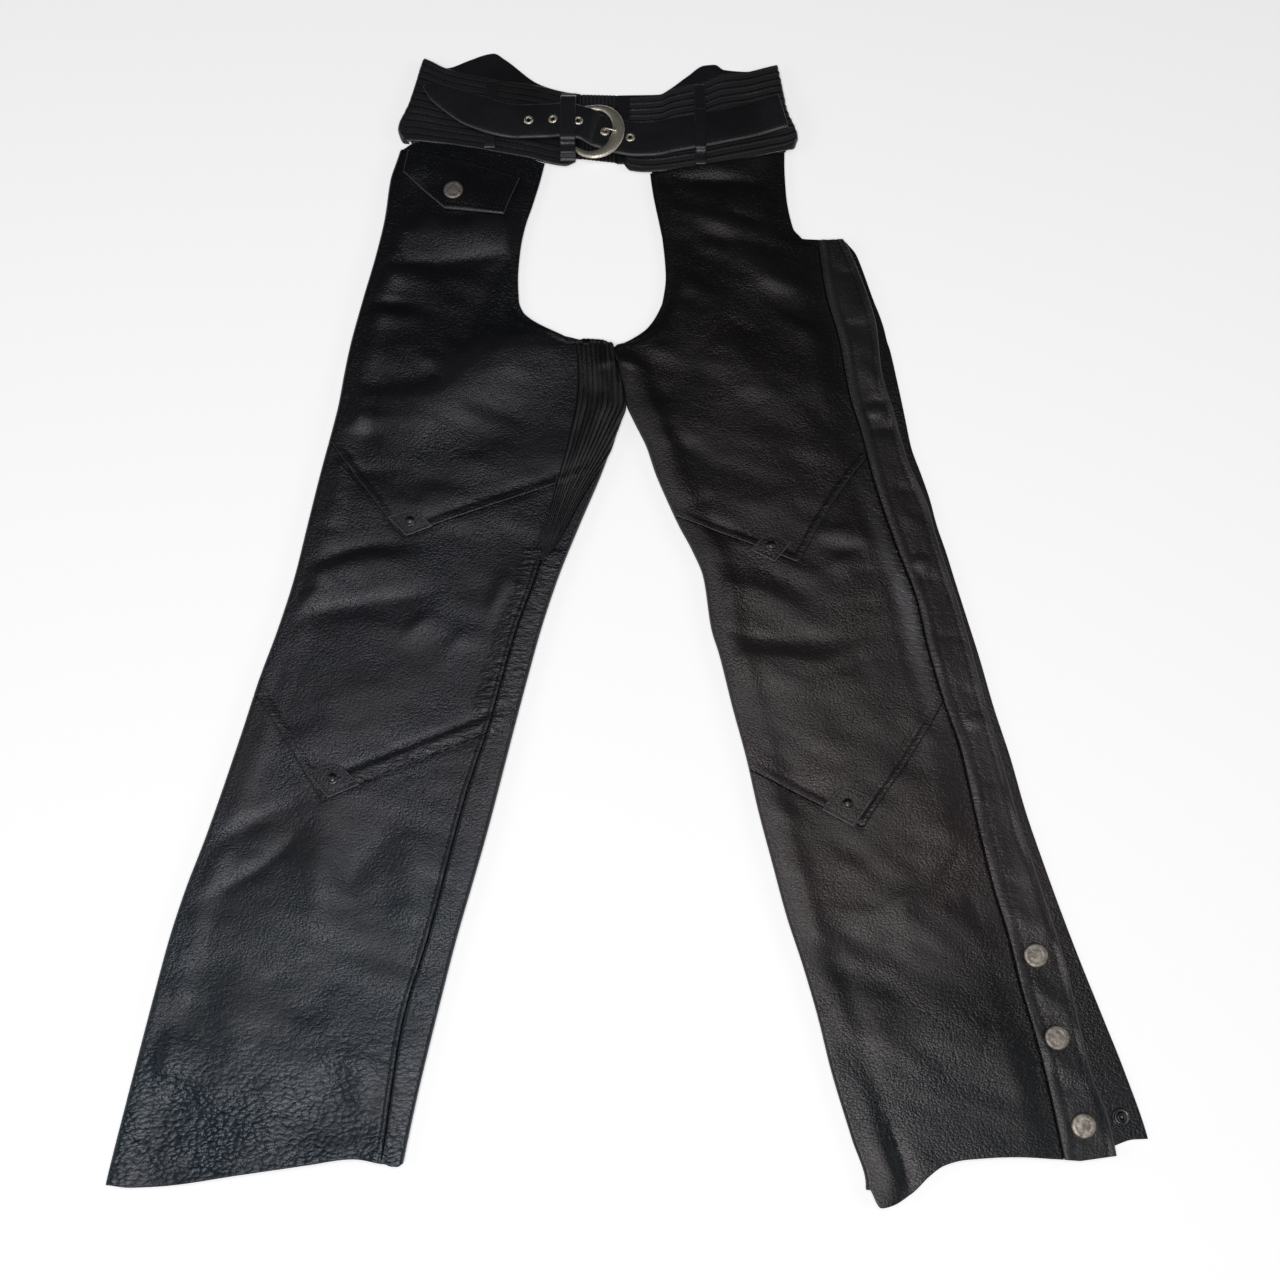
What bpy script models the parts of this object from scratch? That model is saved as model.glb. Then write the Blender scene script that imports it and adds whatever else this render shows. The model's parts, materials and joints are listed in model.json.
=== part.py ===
"""Leather riding chaps laid flat on a surface, front side up, shut by a buckled strap.

The tables hold sizes in millimetres in the garment's own plan: `across` runs from the centre
line to the wearer's left, `up` from the lowest hem corner to the waist, and `z` is the height
over the surface. Each panel is a grid of points on the laid-out form, given its wall by
Solidify, or, where ribs are raised on it, by a second plain skin.
"""

from collections import namedtuple
from math import atan2, cos, degrees, exp, hypot, pi, radians, sin

import bmesh
import bpy
from mathutils import Matrix, Vector

MM = 0.001
LENGTH = 1081.0                # lowest hem corner to the peak of the back yoke
LEATHER = 1.6                  # wall of the leg panels
SEAM = 0.3                     # gap between pieces at a seam, and between what lies on what
LAYER_GAP = 0.5                # air between the back panel and the front panel on it
FRONT_LIE = LEATHER + LAYER_GAP + LEATHER    # height of a front panel where it lies on the back
ROLL = 3.6                     # radius of the rolled fold at a leg's edge
ROLL_SPREAD = 34.0             # how far in from the edge the fold's lift dies away
UNDERLAP = 12.0                # how far a front panel runs on below its fold
HIDDEN_SEAM = 2.2              # gap at a seam on the underside
CURVED_SEAM = 0.9              # gap at a seam between two curved edges
HEM_SETBACK = 2.0              # the hidden panel's cut edge stays this far inside the seen one

YOKE_WALL = 2.0
YOKE_BACK_WALL = 2.0
YOKE_RIBS = 12
RIB_HEIGHT = 1.4
YOKE_LIE = YOKE_BACK_WALL + SEAM + YOKE_WALL  # height of the front yoke between its ribs

STRAP_WALL = 3.0
STRAP_HALF_WIDTH = 19.0
EYELET_ALONG = (-100.0, -76.0, -51.5, -25.5, -1.0)
EYELET_BORE = 2.1
EYELET_BARREL = 2.4
EYELET_FLANGE = 4.8
STRAP_HOLE = 2.7

BUCKLE_CENTRE = (-33.0, 985.6)
BUCKLE_TURN = radians(-16)
BUCKLE_THICKNESS = 3.3
BAR_RADIUS = 1.4
PRONG_RADIUS = 1.0
CHAPE_WALL = 1.2
CHAPE_HALF_WIDTH = 12.5

SNAP_RADIUS = 10.0
RIVET_RADIUS = 4.8
SOCKET_RADIUS = 7.4
PATCH_WALL = 1.0
FLAP_WALL = 2.4
PLACKET_WALL = 2.4
PLACKET_RISE = 1.0             # the placket's top over the front panel's
GUSSET_RIBS = 12
GUSSET_RIB_HEIGHT = 0.9
GUSSET_WALL = 1.2
ROUND_STEPS = 16
LEFT_ROLL_TURNS = (radians(11), radians(36), radians(62))     # from the seam at the roll's middle
SHARES_ACROSS = (0.0, 0.05, 0.11, 0.18, 0.26, 0.35, 0.45, 0.55, 0.65, 0.75, 0.84, 0.92, 1.0)

BLACK = (0.012, 0.012, 0.014)
BROWN_BLACK = (0.020, 0.017, 0.016)
GREEN_BLACK = (0.014, 0.019, 0.020)
NICKEL = (0.45, 0.43, 0.40)
SILVER = (0.72, 0.69, 0.62)

Section = namedtuple("Section", "up outer inner")
Fold = namedtuple("Fold", "across up height half_length half_width turn bow")
Vee = namedtuple("Vee", "outer_up tip_share tip_up inner_up")
StrapStation = namedtuple("StrapStation", "across up half_width rise")
BuckleStation = namedtuple("BuckleStation", "along aside half_width height")
Patch = namedtuple("Patch", "name tip_across tip_up left_turn right_turn side")

# The right leg's sections: outer fold and inner edge at each height. Above the crotch the
# inner column is the edge of the seat opening.
RIGHT_SECTIONS = [
    Section(0, -427.5, -190), Section(18, -425, -187), Section(87, -413, -174.5),
    Section(170, -397.8, -156.5), Section(213, -389.5, -146.6), Section(256, -378.6, -135.3),
    Section(300, -364.9, -123.8), Section(391, -340.3, -102.5), Section(438, -328.5, -91.3),
    Section(486, -314.3, -79.3), Section(534, -302.5, -64.7), Section(584, -293.6, -46),
    Section(634, -284.6, -26.3), Section(685, -274.5, -9.4), Section(701, -271.7, -4.5),
    Section(734, -267.7, -10.9), Section(760, -264, -16), Section(808, -254.4, -16),
    Section(858, -243.5, -16), Section(897, -237, -16), Section(936, -233.6, -16),
    Section(960, -227.6, -16),
]
# Where the right front panel ends on top: inseam, gusset, then the seat opening's edge.
RIGHT_FRONT_END = [
    (25, -203), (46, -200), (143, -189), (218, -169), (335, -142), (402, -122), (435, -114),
    (482, -102), (546, -82), (578, -77), (612, -70), (661, -58), (727, -48.5), (762, -51),
    (770, -59), (776, -70), (783, -84), (790, -95), (797, -102), (808, -106), (834, -107.4),
    (859, -106), (885, -102), (910, -95), (937, -88), (956, -84),
]
# Beside the gusset the right back panel ends at its edge, given as a length along the wall
# from the middle of the inner roll: negative on top of it, positive below.
GUSSET_RIGHT_EDGE = [
    (546, -23.6), (560, -16), (573, -13.4), (598, -11.2), (623, -7.6), (645, -2.2),
    (668, 3), (701, 9), (734, 14), (768, 17),
]
# The rows of each panel, by their height at the inner edge; the backs share them.
RIGHT_ROWS = {
    "shin": [34, 54, 82, 114, 148, 182, 218, 256, 298, 344, 391],
    "knee": [391, 421, 450, 480, 512, 549, 560, 573, 598, 623],
    "thigh": [623, 645, 668, 692, 716, 738, 752, 762, 770, 777, 785, 796, 808, 826, 846, 866,
              888, 910, 933, 956],
}
LEFT_ROWS = {
    "shin": [14, 30, 54, 84, 120, 158, 198, 238, 278, 318, 357],
    "knee": [357, 392, 426, 460, 484, 508, 534, 562, 590],
    "thigh": [590, 614, 640, 664, 686, 706, 724, 740, 752, 760, 768, 780, 796, 814, 833.2,
              839.9, 860, 882, 904, 924, 945],
}
LEFT_SECTIONS = [
    Section(0, 433, 189), Section(18, 430, 191.6), Section(53, 424.8, 181.5),
    Section(107, 409.7, 166.2), Section(149, 395.7, 156.8), Section(191, 381.5, 145.5),
    Section(234, 367.8, 132.3), Section(278, 354.8, 121.4), Section(323, 342.4, 110.4),
    Section(369, 332.4, 100.9), Section(415, 320.4, 89.4), Section(462, 310, 78.6),
    Section(486, 304, 71.8), Section(534, 292, 65.2), Section(559, 285.9, 55.6),
    Section(584, 279, 43.1), Section(609, 273.9, 32.3), Section(634, 267, 22.3),
    Section(660, 259.3, 14.1), Section(685, 255.5, 3.0), Section(701, 253.2, -2.7),
    Section(734, 248, -8.8), Section(760, 243.5, -13.9), Section(767, 241.5, -2),
    Section(780, 239.2, 15.5), Section(796, 235, 25.5), Section(808, 231, 30),
    Section(834, 223.5, 33), Section(849, 219, 32.3), Section(859, 215.4, 31.5),
    Section(868, 209, 30.6), Section(872.5, 204.6, 30.1), Section(875, 163.5, 29.8),
    Section(885, 156, 28), Section(923, 150, 21), Section(952, 149.2, 17.4),
    Section(966, 149.6, 15.5),
]
# The left placket's two edges; the front panel ends at the inner one.
PLACKET_SEAM = [
    (37, 354), (95, 345), (135, 337), (173, 328), (215, 320), (260, 309), (319, 298),
    (377, 288), (419, 276), (470, 264), (511, 257), (565, 240), (631, 222), (672, 214),
    (711, 204), (769, 196), (817, 185), (868, 179.5),
]
PLACKET_EDGE = [
    (40, 397), (70, 393), (103, 382), (142, 375), (182, 369), (218, 361), (260, 350),
    (308, 337), (358, 326), (402, 316), (457, 305), (512, 293), (569, 278), (602, 271),
    (646, 255), (691, 245), (736, 234.6), (780, 232), (808, 226), (848, 214), (868, 206),
    (873, 203),
]
PLACKET_BOTTOM = [(0.0, 37), (0.3, 36), (1.0, 40)]
PLACKET_TOP = [(0.0, 868), (0.12, 872), (1.0, 873)]

# Hems, V seams and yoke seams: height against the share of the panel's width.
RIGHT_HEM = [(0.0, 17.6), (0.08, 15.6), (0.16, 16.1), (0.48, 25.3), (0.73, 33), (0.89, 37.5),
             (1.0, 34)]
RIGHT_BACK_HEM = [(0.0, 20), (0.08, 18), (0.16, 18.6), (0.48, 27.8), (0.73, 35.5), (0.89, 39),
                  (0.96, 34), (1.0, 29)]
RIGHT_STRIP_HEM = [(0.92, 36), (0.96, 33), (1.0, 29)]
LEFT_HEM = [(0.0, 37), (0.24, 39), (0.485, 37), (0.60, 33), (0.70, 24), (0.80, 10), (0.88, 2),
            (0.935, 0), (1.0, 14)]
LEFT_BACK_HEM = [(0.0, 53), (0.05, 52.5), (0.13, 47), (0.3, 42), (0.5, 41), (0.72, 34),
                 (0.86, 13), (0.94, 4), (1.0, 14)]
RIGHT_UPPER_VEE = Vee(662, 0.395, 572, 623)
RIGHT_LOWER_VEE = Vee(424, 0.40, 333, 391)
LEFT_UPPER_VEE = Vee(651, 0.52, 547, 590)
LEFT_LOWER_VEE = Vee(420, 0.545, 308, 357)
RIGHT_YOKE_SEAM = [(0.0, 962), (0.06, 974.6), (0.2, 977.6), (0.45, 973.2), (0.66, 967.4),
                   (0.88, 961.1), (1.0, 956.2)]
LEFT_YOKE_SEAM = [(0.0, 967.6), (0.12, 964), (0.35, 959.4), (0.65, 951.7), (0.9, 947.3),
                  (1.0, 945.2)]
PATCHES = [
    Patch("right_upper", -203, 572, 135, 21, 26), Patch("right_lower", -261, 333, 133, 23, 30),
    Patch("left_upper", 130, 547, 153, 50, 25), Patch("left_lower", 192, 308, 151, 54, 31),
]

# The largest folds of the front panels, as soft ridges over the lying height.
RIGHT_FOLDS = [
    Fold(-168, 878, 3.6, 62, 14, 8, -8), Fold(-178, 812, 3.0, 60, 15, -6, -6),
    Fold(-140, 736, 3.6, 74, 17, -4, -12), Fold(-128, 690, 3.0, 70, 15, -10, -14),
    Fold(-190, 540, 2.6, 80, 16, 24, 8), Fold(-170, 482, 3.2, 90, 17, 27, 6),
    Fold(-215, 436, 2.6, 80, 16, 30, 8), Fold(-310, 258, 3.8, 64, 18, 22, -8),
    Fold(-240, 282, 2.8, 70, 20, 36, 6), Fold(-365, 110, 3.0, 90, 17, 76, 6),
]
LEFT_FOLDS = [
    Fold(84, 908, 3.4, 52, 13, -14, 8), Fold(104, 856, 3.8, 66, 14, -9, 10),
    Fold(110, 790, 3.2, 74, 17, -12, 8), Fold(98, 716, 2.6, 70, 18, -20, 8),
    Fold(148, 500, 4.0, 78, 15, -8, 10), Fold(160, 452, 3.4, 72, 14, -12, 8),
    Fold(206, 262, 3.4, 86, 20, 40, -8), Fold(232, 96, 4.4, 66, 15, 100, 4),
    Fold(160, 250, 2.8, 60, 18, -30, 6),
]

# The yokes: bottom and top edges across, then the inner end and the side fold (across, up).
RIGHT_YOKE_BOTTOM = [(-229, 984), (-222, 978), (-204, 978.5), (-161, 973.5), (-130, 967.5),
                     (-97, 960.5), (-84, 956.5), (-64, 953), (-54, 957.5)]
RIGHT_YOKE_TOP = [(-229, 1075), (-207, 1072), (-184, 1062), (-137, 1051), (-90, 1042), (-54, 1032)]
RIGHT_YOKE_SIDE = [(0.0, -224), (0.1, -228.5), (0.5, -218), (1.0, -207)]
LEFT_YOKE_BOTTOM = [(-7, 957), (-1, 949), (15, 947), (59, 951.5), (104, 960), (135, 966.5),
                    (150, 968.5), (163, 974)]
LEFT_YOKE_TOP = [(-1, 1030), (28, 1032), (39, 1038), (72, 1047), (90, 1055), (116, 1058),
                 (146, 1064), (163, 1067)]
LEFT_YOKE_SIDE = [(0.0, 160), (0.1, 163), (0.5, 153), (1.0, 146)]
RIGHT_BACK_TOP = [(-229, 1076), (-207, 1072), (-184, 1064), (-161, 1073), (-143, 1080),
                  (-137, 1081), (-126, 1074), (-90, 1045), (-61, 1036), (-50, 1034.5)]
LEFT_BACK_TOP = [(-14, 1033), (28, 1034), (39, 1041), (56, 1055), (72, 1067), (83, 1068),
                 (92, 1062), (116, 1060), (146, 1064), (163, 1068)]
WAIST_INSERT_BOTTOM = [(-50, 961), (-14, 958.5)]
WAIST_INSERT_TOP = [(-50, 1034), (-14, 1033)]

# The strap from its free tip to the left side: its centre line, half width, and how far it
# rises over what it lies on, to clear the belt loop, the chape and the hidden bar.
STRAP_STATIONS = [
    StrapStation(-204, 1037.5, 2.5, 0.2), StrapStation(-199, 1035, 6, 0.2),
    StrapStation(-192, 1031.4, 10.5, 0.2), StrapStation(-181, 1025.6, 13.5, 0.2),
    StrapStation(-170, 1020, 16, 0.2), StrapStation(-158, 1013.6, 18.3, 1.0),
    StrapStation(-149, 1009, 19, 2.4), StrapStation(-138, 1004.2, 19, 2.7),
    StrapStation(-127, 1001, 19, 2.4), StrapStation(-116, 999.2, 19, 1.6),
    StrapStation(-106, 998.3, 19, 2.6), StrapStation(-94, 998, 19, 3.6),
    StrapStation(-82, 998, 19, 4.2), StrapStation(-70, 997.7, 19, 6.6),
    StrapStation(-64, 997.2, 19, 7.8), StrapStation(-58, 996, 18.8, 8.0),
    StrapStation(-45, 992.6, 18.2, 7.4), StrapStation(-38, 990.6, 18.2, 4.4),
    StrapStation(-32, 989, 18.2, 0.9), StrapStation(-19, 985.4, 18.8, 0.2),
    StrapStation(-7, 982, 19, 0.2), StrapStation(5, 980.2, 19, 0.2),
    StrapStation(20, 980.4, 19, 0.2), StrapStation(38, 984.4, 19, 0.2),
    StrapStation(55, 987.8, 19, 0.2), StrapStation(72, 991, 19, 0.2),
    StrapStation(88, 994.6, 19, 0.2), StrapStation(104, 998, 19, 0.4),
    StrapStation(117, 1001.3, 19, 0.5), StrapStation(130, 1004.8, 19, 0.5),
    StrapStation(140, 1007.4, 19, 0.5), StrapStation(149, 1009.6, 19, 0.5),
]
# Half of the buckle's frame, from the middle of its bow round to its hidden bar.
BUCKLE_STATIONS = [
    BuckleStation(20.2, 0, 6.1, 12.3), BuckleStation(19.6, 6.6, 6.0, 12.3),
    BuckleStation(17.4, 13.2, 5.7, 12.3), BuckleStation(13.1, 19.2, 5.2, 12.2),
    BuckleStation(7.2, 23.8, 4.5, 12.0), BuckleStation(0.5, 26.2, 3.8, 11.5),
    BuckleStation(-6.5, 26.1, 3.2, 10.8), BuckleStation(-13.5, 24.3, 2.7, 10.3),
    BuckleStation(-20.5, 21.6, 2.3, 9.9), BuckleStation(-25.3, 18.4, 1.9, 9.7),
    BuckleStation(-27.4, 13.6, 1.5, 9.6), BuckleStation(-27.5, 5, 1.4, 9.6),
]


# ---------------------------------------------------------------- curves through the tables

def smooth_line(points):
    """A smooth function through (where, value) points that never overshoots them."""
    points = sorted(points)
    wheres = [p[0] for p in points]
    values = [p[1] for p in points]
    steps = [(values[i + 1] - values[i]) / (wheres[i + 1] - wheres[i])
             for i in range(len(points) - 1)]
    slopes = [steps[0]]
    for before, after in zip(steps, steps[1:]):
        slopes.append(2 * before * after / (before + after) if before * after > 0 else 0.0)
    slopes.append(steps[-1])

    def value_at(where):
        if where <= wheres[0]:
            return values[0] + slopes[0] * (where - wheres[0])
        if where >= wheres[-1]:
            return values[-1] + slopes[-1] * (where - wheres[-1])
        i = max(k for k in range(len(points) - 1) if wheres[k] <= where)
        span = wheres[i + 1] - wheres[i]
        t = (where - wheres[i]) / span
        return (values[i] * (1 + 2 * t) * (1 - t) ** 2 + span * slopes[i] * t * (1 - t) ** 2
                + values[i + 1] * t * t * (3 - 2 * t) + span * slopes[i + 1] * t * t * (t - 1))

    return value_at


def straight_line(points):
    """A function that runs straight from point to point."""
    points = sorted(points)

    def value_at(where):
        i = max([k for k in range(len(points) - 1) if points[k][0] <= where] or [0])
        (a, low), (b, high) = points[i], points[i + 1]
        return low + (high - low) * (where - a) / (b - a)

    return value_at


def vee_line(vee):
    return straight_line([(0, vee.outer_up), (vee.tip_share, vee.tip_up), (1, vee.inner_up)])


def mix(low, high, share):
    return low + (high - low) * share


def ease(share):
    """1 at 0, 0 from 1 on, level at both ends."""
    share = min(max(share, 0.0), 1.0)
    return (1 - share) ** 2 * (1 + 2 * share)


right_outer = smooth_line([(s.up, s.outer) for s in RIGHT_SECTIONS])
right_inner = smooth_line([(s.up, s.inner) for s in RIGHT_SECTIONS])
right_front_end = smooth_line(RIGHT_FRONT_END)
gusset_right_edge = smooth_line(GUSSET_RIGHT_EDGE)
left_outer = smooth_line([(s.up, s.outer) for s in LEFT_SECTIONS])
left_inner = smooth_line([(s.up, s.inner) for s in LEFT_SECTIONS])
placket_seam = smooth_line(PLACKET_SEAM)
placket_edge = smooth_line(PLACKET_EDGE)
left_hip_edge = smooth_line([(s.up, s.outer) for s in LEFT_SECTIONS if s.up > 873])


def left_front_outer(up):
    """The left front panel ends at the placket seam and, above the placket, at the hip's edge."""
    if up <= 868:
        return placket_seam(up)
    if up >= 874:
        return left_hip_edge(up)
    return mix(placket_seam(868), left_hip_edge(874), (up - 868) / 6)


def right_back_end(up):
    """Where the right back panel ends: at the inseam, then at the gusset's edge."""
    if up > GUSSET_RIGHT_EDGE[0][0]:
        return gusset_right_edge(up)
    return right_front_end(up) - right_inner(up) + ROLL - ROLL * pi / 2


# ---------------------------------------------------------------- the laid-out form

def fold_height(folds, across, up):
    """The ridges at a point: bowed, soft to the sides and dying out at the ends."""
    total = 0.0
    for fold in folds:
        turn = radians(fold.turn)
        along = (across - fold.across) * cos(turn) + (up - fold.up) * sin(turn)
        aside = (up - fold.up) * cos(turn) - (across - fold.across) * sin(turn)
        reach = along / fold.half_length
        if abs(reach) < 1.6:
            aside -= fold.bow * (reach * reach - 0.4)
            total += fold.height * exp(-(aside / fold.half_width) ** 2) * ease(abs(reach) / 1.6)
    return total


def closed_share(up):
    """1 where a leg is a closed tube, 0 beside the seat opening."""
    return ease((up - 734) / 28)


def front_height(side, across, up):
    """Height of the front panels' outer face."""
    folds = RIGHT_FOLDS if side == "right" else LEFT_FOLDS
    lift = 2 * ROLL - FRONT_LIE
    if side == "right":
        from_outer = across - right_outer(up)
        from_inner = right_inner(up) - across
        rise = lift * ease((from_outer - ROLL) / ROLL_SPREAD)
    else:
        from_outer = 40.0
        from_inner = across - left_inner(up)
        rise = 0.0
    rise = max(rise, lift * ease((from_inner - ROLL) / ROLL_SPREAD) * closed_share(up))
    fade = 1 - ease((min(from_outer, from_inner + 60 * (1 - closed_share(up))) - ROLL) / 22)
    return FRONT_LIE + rise + fade * fold_height(folds, across, up)


def rolled_point(edge, inward, up, along):
    """A point on a rolled leg edge, `along` the wall from the roll's middle.

    `inward` is +1 where the leg lies at larger `across`. Negative lengths are on top.
    """
    quarter = ROLL * pi / 2
    if along > quarter:
        return edge + inward * (ROLL + along - quarter), up, 0.0
    turn = along / ROLL
    return edge + inward * (ROLL - ROLL * cos(turn)), up, ROLL - ROLL * sin(turn)


def leg_point(side, edge, inward, up, along):
    """The same, run on over the leg's top where `along` is beyond the roll."""
    quarter = ROLL * pi / 2
    if along < -quarter:
        across = edge + inward * (ROLL - along - quarter)
        return across, up, front_height(side, across, up)
    return rolled_point(edge, inward, up, along)


# ---------------------------------------------------------------- objects

def material(name, colour, roughness, metallic=0.0):
    made = bpy.data.materials.new(name)
    made.use_nodes = True
    shader = made.node_tree.nodes["Principled BSDF"]
    shader.inputs["Base Color"].default_value = (*colour, 1)
    shader.inputs["Roughness"].default_value = roughness
    shader.inputs["Metallic"].default_value = metallic
    return made


def in_metres(point):
    across, up, z = point
    return Vector((across, up - LENGTH / 2, z)) * MM


def add_object(name, mesh, look):
    mesh.materials.append(look)
    made = bpy.data.objects.new(name, mesh)
    chaps.objects.link(made)
    made.parent = frame
    return made


def grid_mesh(name, rows):
    """An open grid of quads; its columns run to larger `across` where it faces up."""
    width = len(rows[0])
    mesh = bpy.data.meshes.new(name)
    faces = [(r * width + c, r * width + c + 1, (r + 1) * width + c + 1, (r + 1) * width + c)
             for r in range(len(rows) - 1) for c in range(width - 1)]
    mesh.from_pydata([in_metres(p) for row in rows for p in row], [], faces)
    return mesh


def leather_sheet(name, rows, wall, look):
    """A panel: the grid is its outer face, and Solidify gives the wall below it."""
    made = add_object(name, grid_mesh(name, rows), look)
    solid = made.modifiers.new("wall", "SOLIDIFY")
    solid.thickness = wall * MM
    solid.offset = -1
    made.data.shade_smooth()
    made.data.set_sharp_from_angle(angle=radians(50))
    return made


def skin_normals(rows):
    """The facing of a grid of points at each of them."""
    normals = []
    for r, row in enumerate(rows):
        below, above = rows[max(r - 1, 0)], rows[min(r + 1, len(rows) - 1)]
        line = []
        for c in range(len(row)):
            side = Vector(row[min(c + 1, len(row) - 1)]) - Vector(row[max(c - 1, 0)])
            line.append(side.cross(Vector(above[c]) - Vector(below[c])).normalized())
        normals.append(line)
    return normals


def ribbed_wall(name, rows, wall, rib_at, look):
    """A wall whose outer points are raised by rib_at(row, column) over a plain inner skin."""
    normals = skin_normals(rows)
    width = len(rows[0])
    inner = [Vector(p) - n * wall for row, line in zip(rows, normals) for p, n in zip(row, line)]
    outer = [Vector(p) + normals[r][c] * rib_at(r, c)
             for r, row in enumerate(rows) for c, p in enumerate(row)]
    count = len(outer)
    faces = []
    for r in range(len(rows) - 1):
        for c in range(width - 1):
            quad = (r * width + c, r * width + c + 1, (r + 1) * width + c + 1, (r + 1) * width + c)
            faces.append(quad)
            faces.append(tuple(count + k for k in reversed(quad)))
    last = (len(rows) - 1) * width
    rim = [*range(width), *[r * width + width - 1 for r in range(1, len(rows))],
           *[last + c for c in range(width - 2, -1, -1)],
           *[r * width for r in range(len(rows) - 2, 0, -1)]]
    for here, onward in zip(rim, rim[1:] + rim[:1]):
        faces.append((onward, here, here + count, onward + count))
    mesh = bpy.data.meshes.new(name)
    mesh.from_pydata([in_metres(p) for p in outer + inner], [], faces)
    made = add_object(name, mesh, look)
    made.data.shade_smooth()
    made.data.set_sharp_from_angle(angle=radians(35))
    return made


def turned(name, profile, centre, normal, look, steps=ROUND_STEPS):
    """A turned fitting: the (radius, height) profile runs down its outer side."""
    mesh = bpy.data.meshes.new(name)
    closed = profile[0][0] > 0
    ring = [(i, i + 1) for i in range(len(profile) - 1)]
    if closed:
        ring.append((len(profile) - 1, 0))
    mesh.from_pydata([Vector((r * MM, 0, z * MM)) for r, z in profile], ring, [])
    made = add_object(name, mesh, look)
    screw = made.modifiers.new("turned", "SCREW")
    screw.steps = screw.render_steps = steps
    screw.use_merge_vertices = True
    screw.merge_threshold = 0.00001
    made.location = in_metres(centre)
    made.rotation_mode = "QUATERNION"
    made.rotation_quaternion = Vector((0, 0, 1)).rotation_difference(Vector(normal))
    return made


def surface_frame(height_at, across, up, reach=6.0):
    """A seat on a surface: its height and normal, from four points round it."""
    east, west = height_at(across + reach, up), height_at(across - reach, up)
    north, south = height_at(across, up + reach), height_at(across, up - reach)
    normal = Vector(((west - east) / (2 * reach), (south - north) / (2 * reach), 1)).normalized()
    middle = height_at(across, up)
    return max(middle, (east + west) / 2, (north + south) / 2), normal


# ---------------------------------------------------------------- the legs

def front_rows(side, shares, row_parts, lower, upper):
    """A front panel's grid from its rolled edge to its other boundary.

    `lower` and `upper` give the panel's ends against the share of its width, and `row_parts`
    the rows' shares of the way between them.
    """
    quarter = ROLL * pi / 2
    grid = []
    for part in row_parts:
        row = []
        if side == "right":
            for along in (UNDERLAP, quarter, quarter * 0.5, 0.0, -quarter * 0.5):
                up = mix(lower(0), upper(0), part)
                row.append(rolled_point(right_outer(up), 1, up, along))
            for share in shares:
                up = mix(lower(share), upper(share), part)
                across = mix(right_outer(up) + ROLL, right_front_end(up) - SEAM / 2, share)
                row.append((across, up, front_height(side, across, up)))
        else:
            for turn in LEFT_ROLL_TURNS:
                up = mix(lower(1), upper(1), part)
                across = left_inner(up) + ROLL * (1 - cos(turn))
                rolled = ROLL + ROLL * sin(turn)
                flat = FRONT_LIE + fold_height(LEFT_FOLDS, across, up)
                row.append((across, up, mix(flat, rolled, closed_share(up))))
            for share in reversed(shares):
                up = mix(lower(share), upper(share), part)
                across = mix(left_front_outer(up) - CURVED_SEAM / 2, left_inner(up) + ROLL, share)
                row.append((across, up, front_height(side, across, up)))
        grid.append(row)
    return grid


def shifted(line, by):
    return lambda share: line(share) + by


def even_steps(count):
    return [i / count for i in range(count + 1)]


def build_fronts(side, hem, lower_vee, upper_vee, yoke_seam, inner_rows, looks):
    """The three front panels of a leg, from the hem up, each ending at a V seam."""
    tips = {"shin": (None, lower_vee), "knee": (lower_vee, upper_vee), "thigh": (upper_vee, None)}
    for panel, (below, above) in tips.items():
        tip_shares = {vee.tip_share for vee in (below, above) if vee}
        shares = sorted({s for s in SHARES_ACROSS if all(abs(s - t) > 0.04 for t in tip_shares)}
                        | tip_shares)
        lower = shifted(vee_line(below), SEAM / 2) if below else smooth_line(hem)
        upper = (shifted(vee_line(above), -SEAM / 2) if above
                 else shifted(smooth_line(yoke_seam), -CURVED_SEAM))
        ups = inner_rows[panel]
        parts = [(up - ups[0]) / (ups[-1] - ups[0]) for up in ups]
        name = f"{side}_front_{panel}"
        rows = front_rows(side, shares, parts, lower, upper)
        leather_sheet(name, rows, LEATHER, looks[panel])


def all_rows(inner_rows):
    """A back panel's rows: those of the three front panels, one after the other."""
    return [*inner_rows["shin"], *inner_rows["knee"][1:], *inner_rows["thigh"][1:]]


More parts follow.
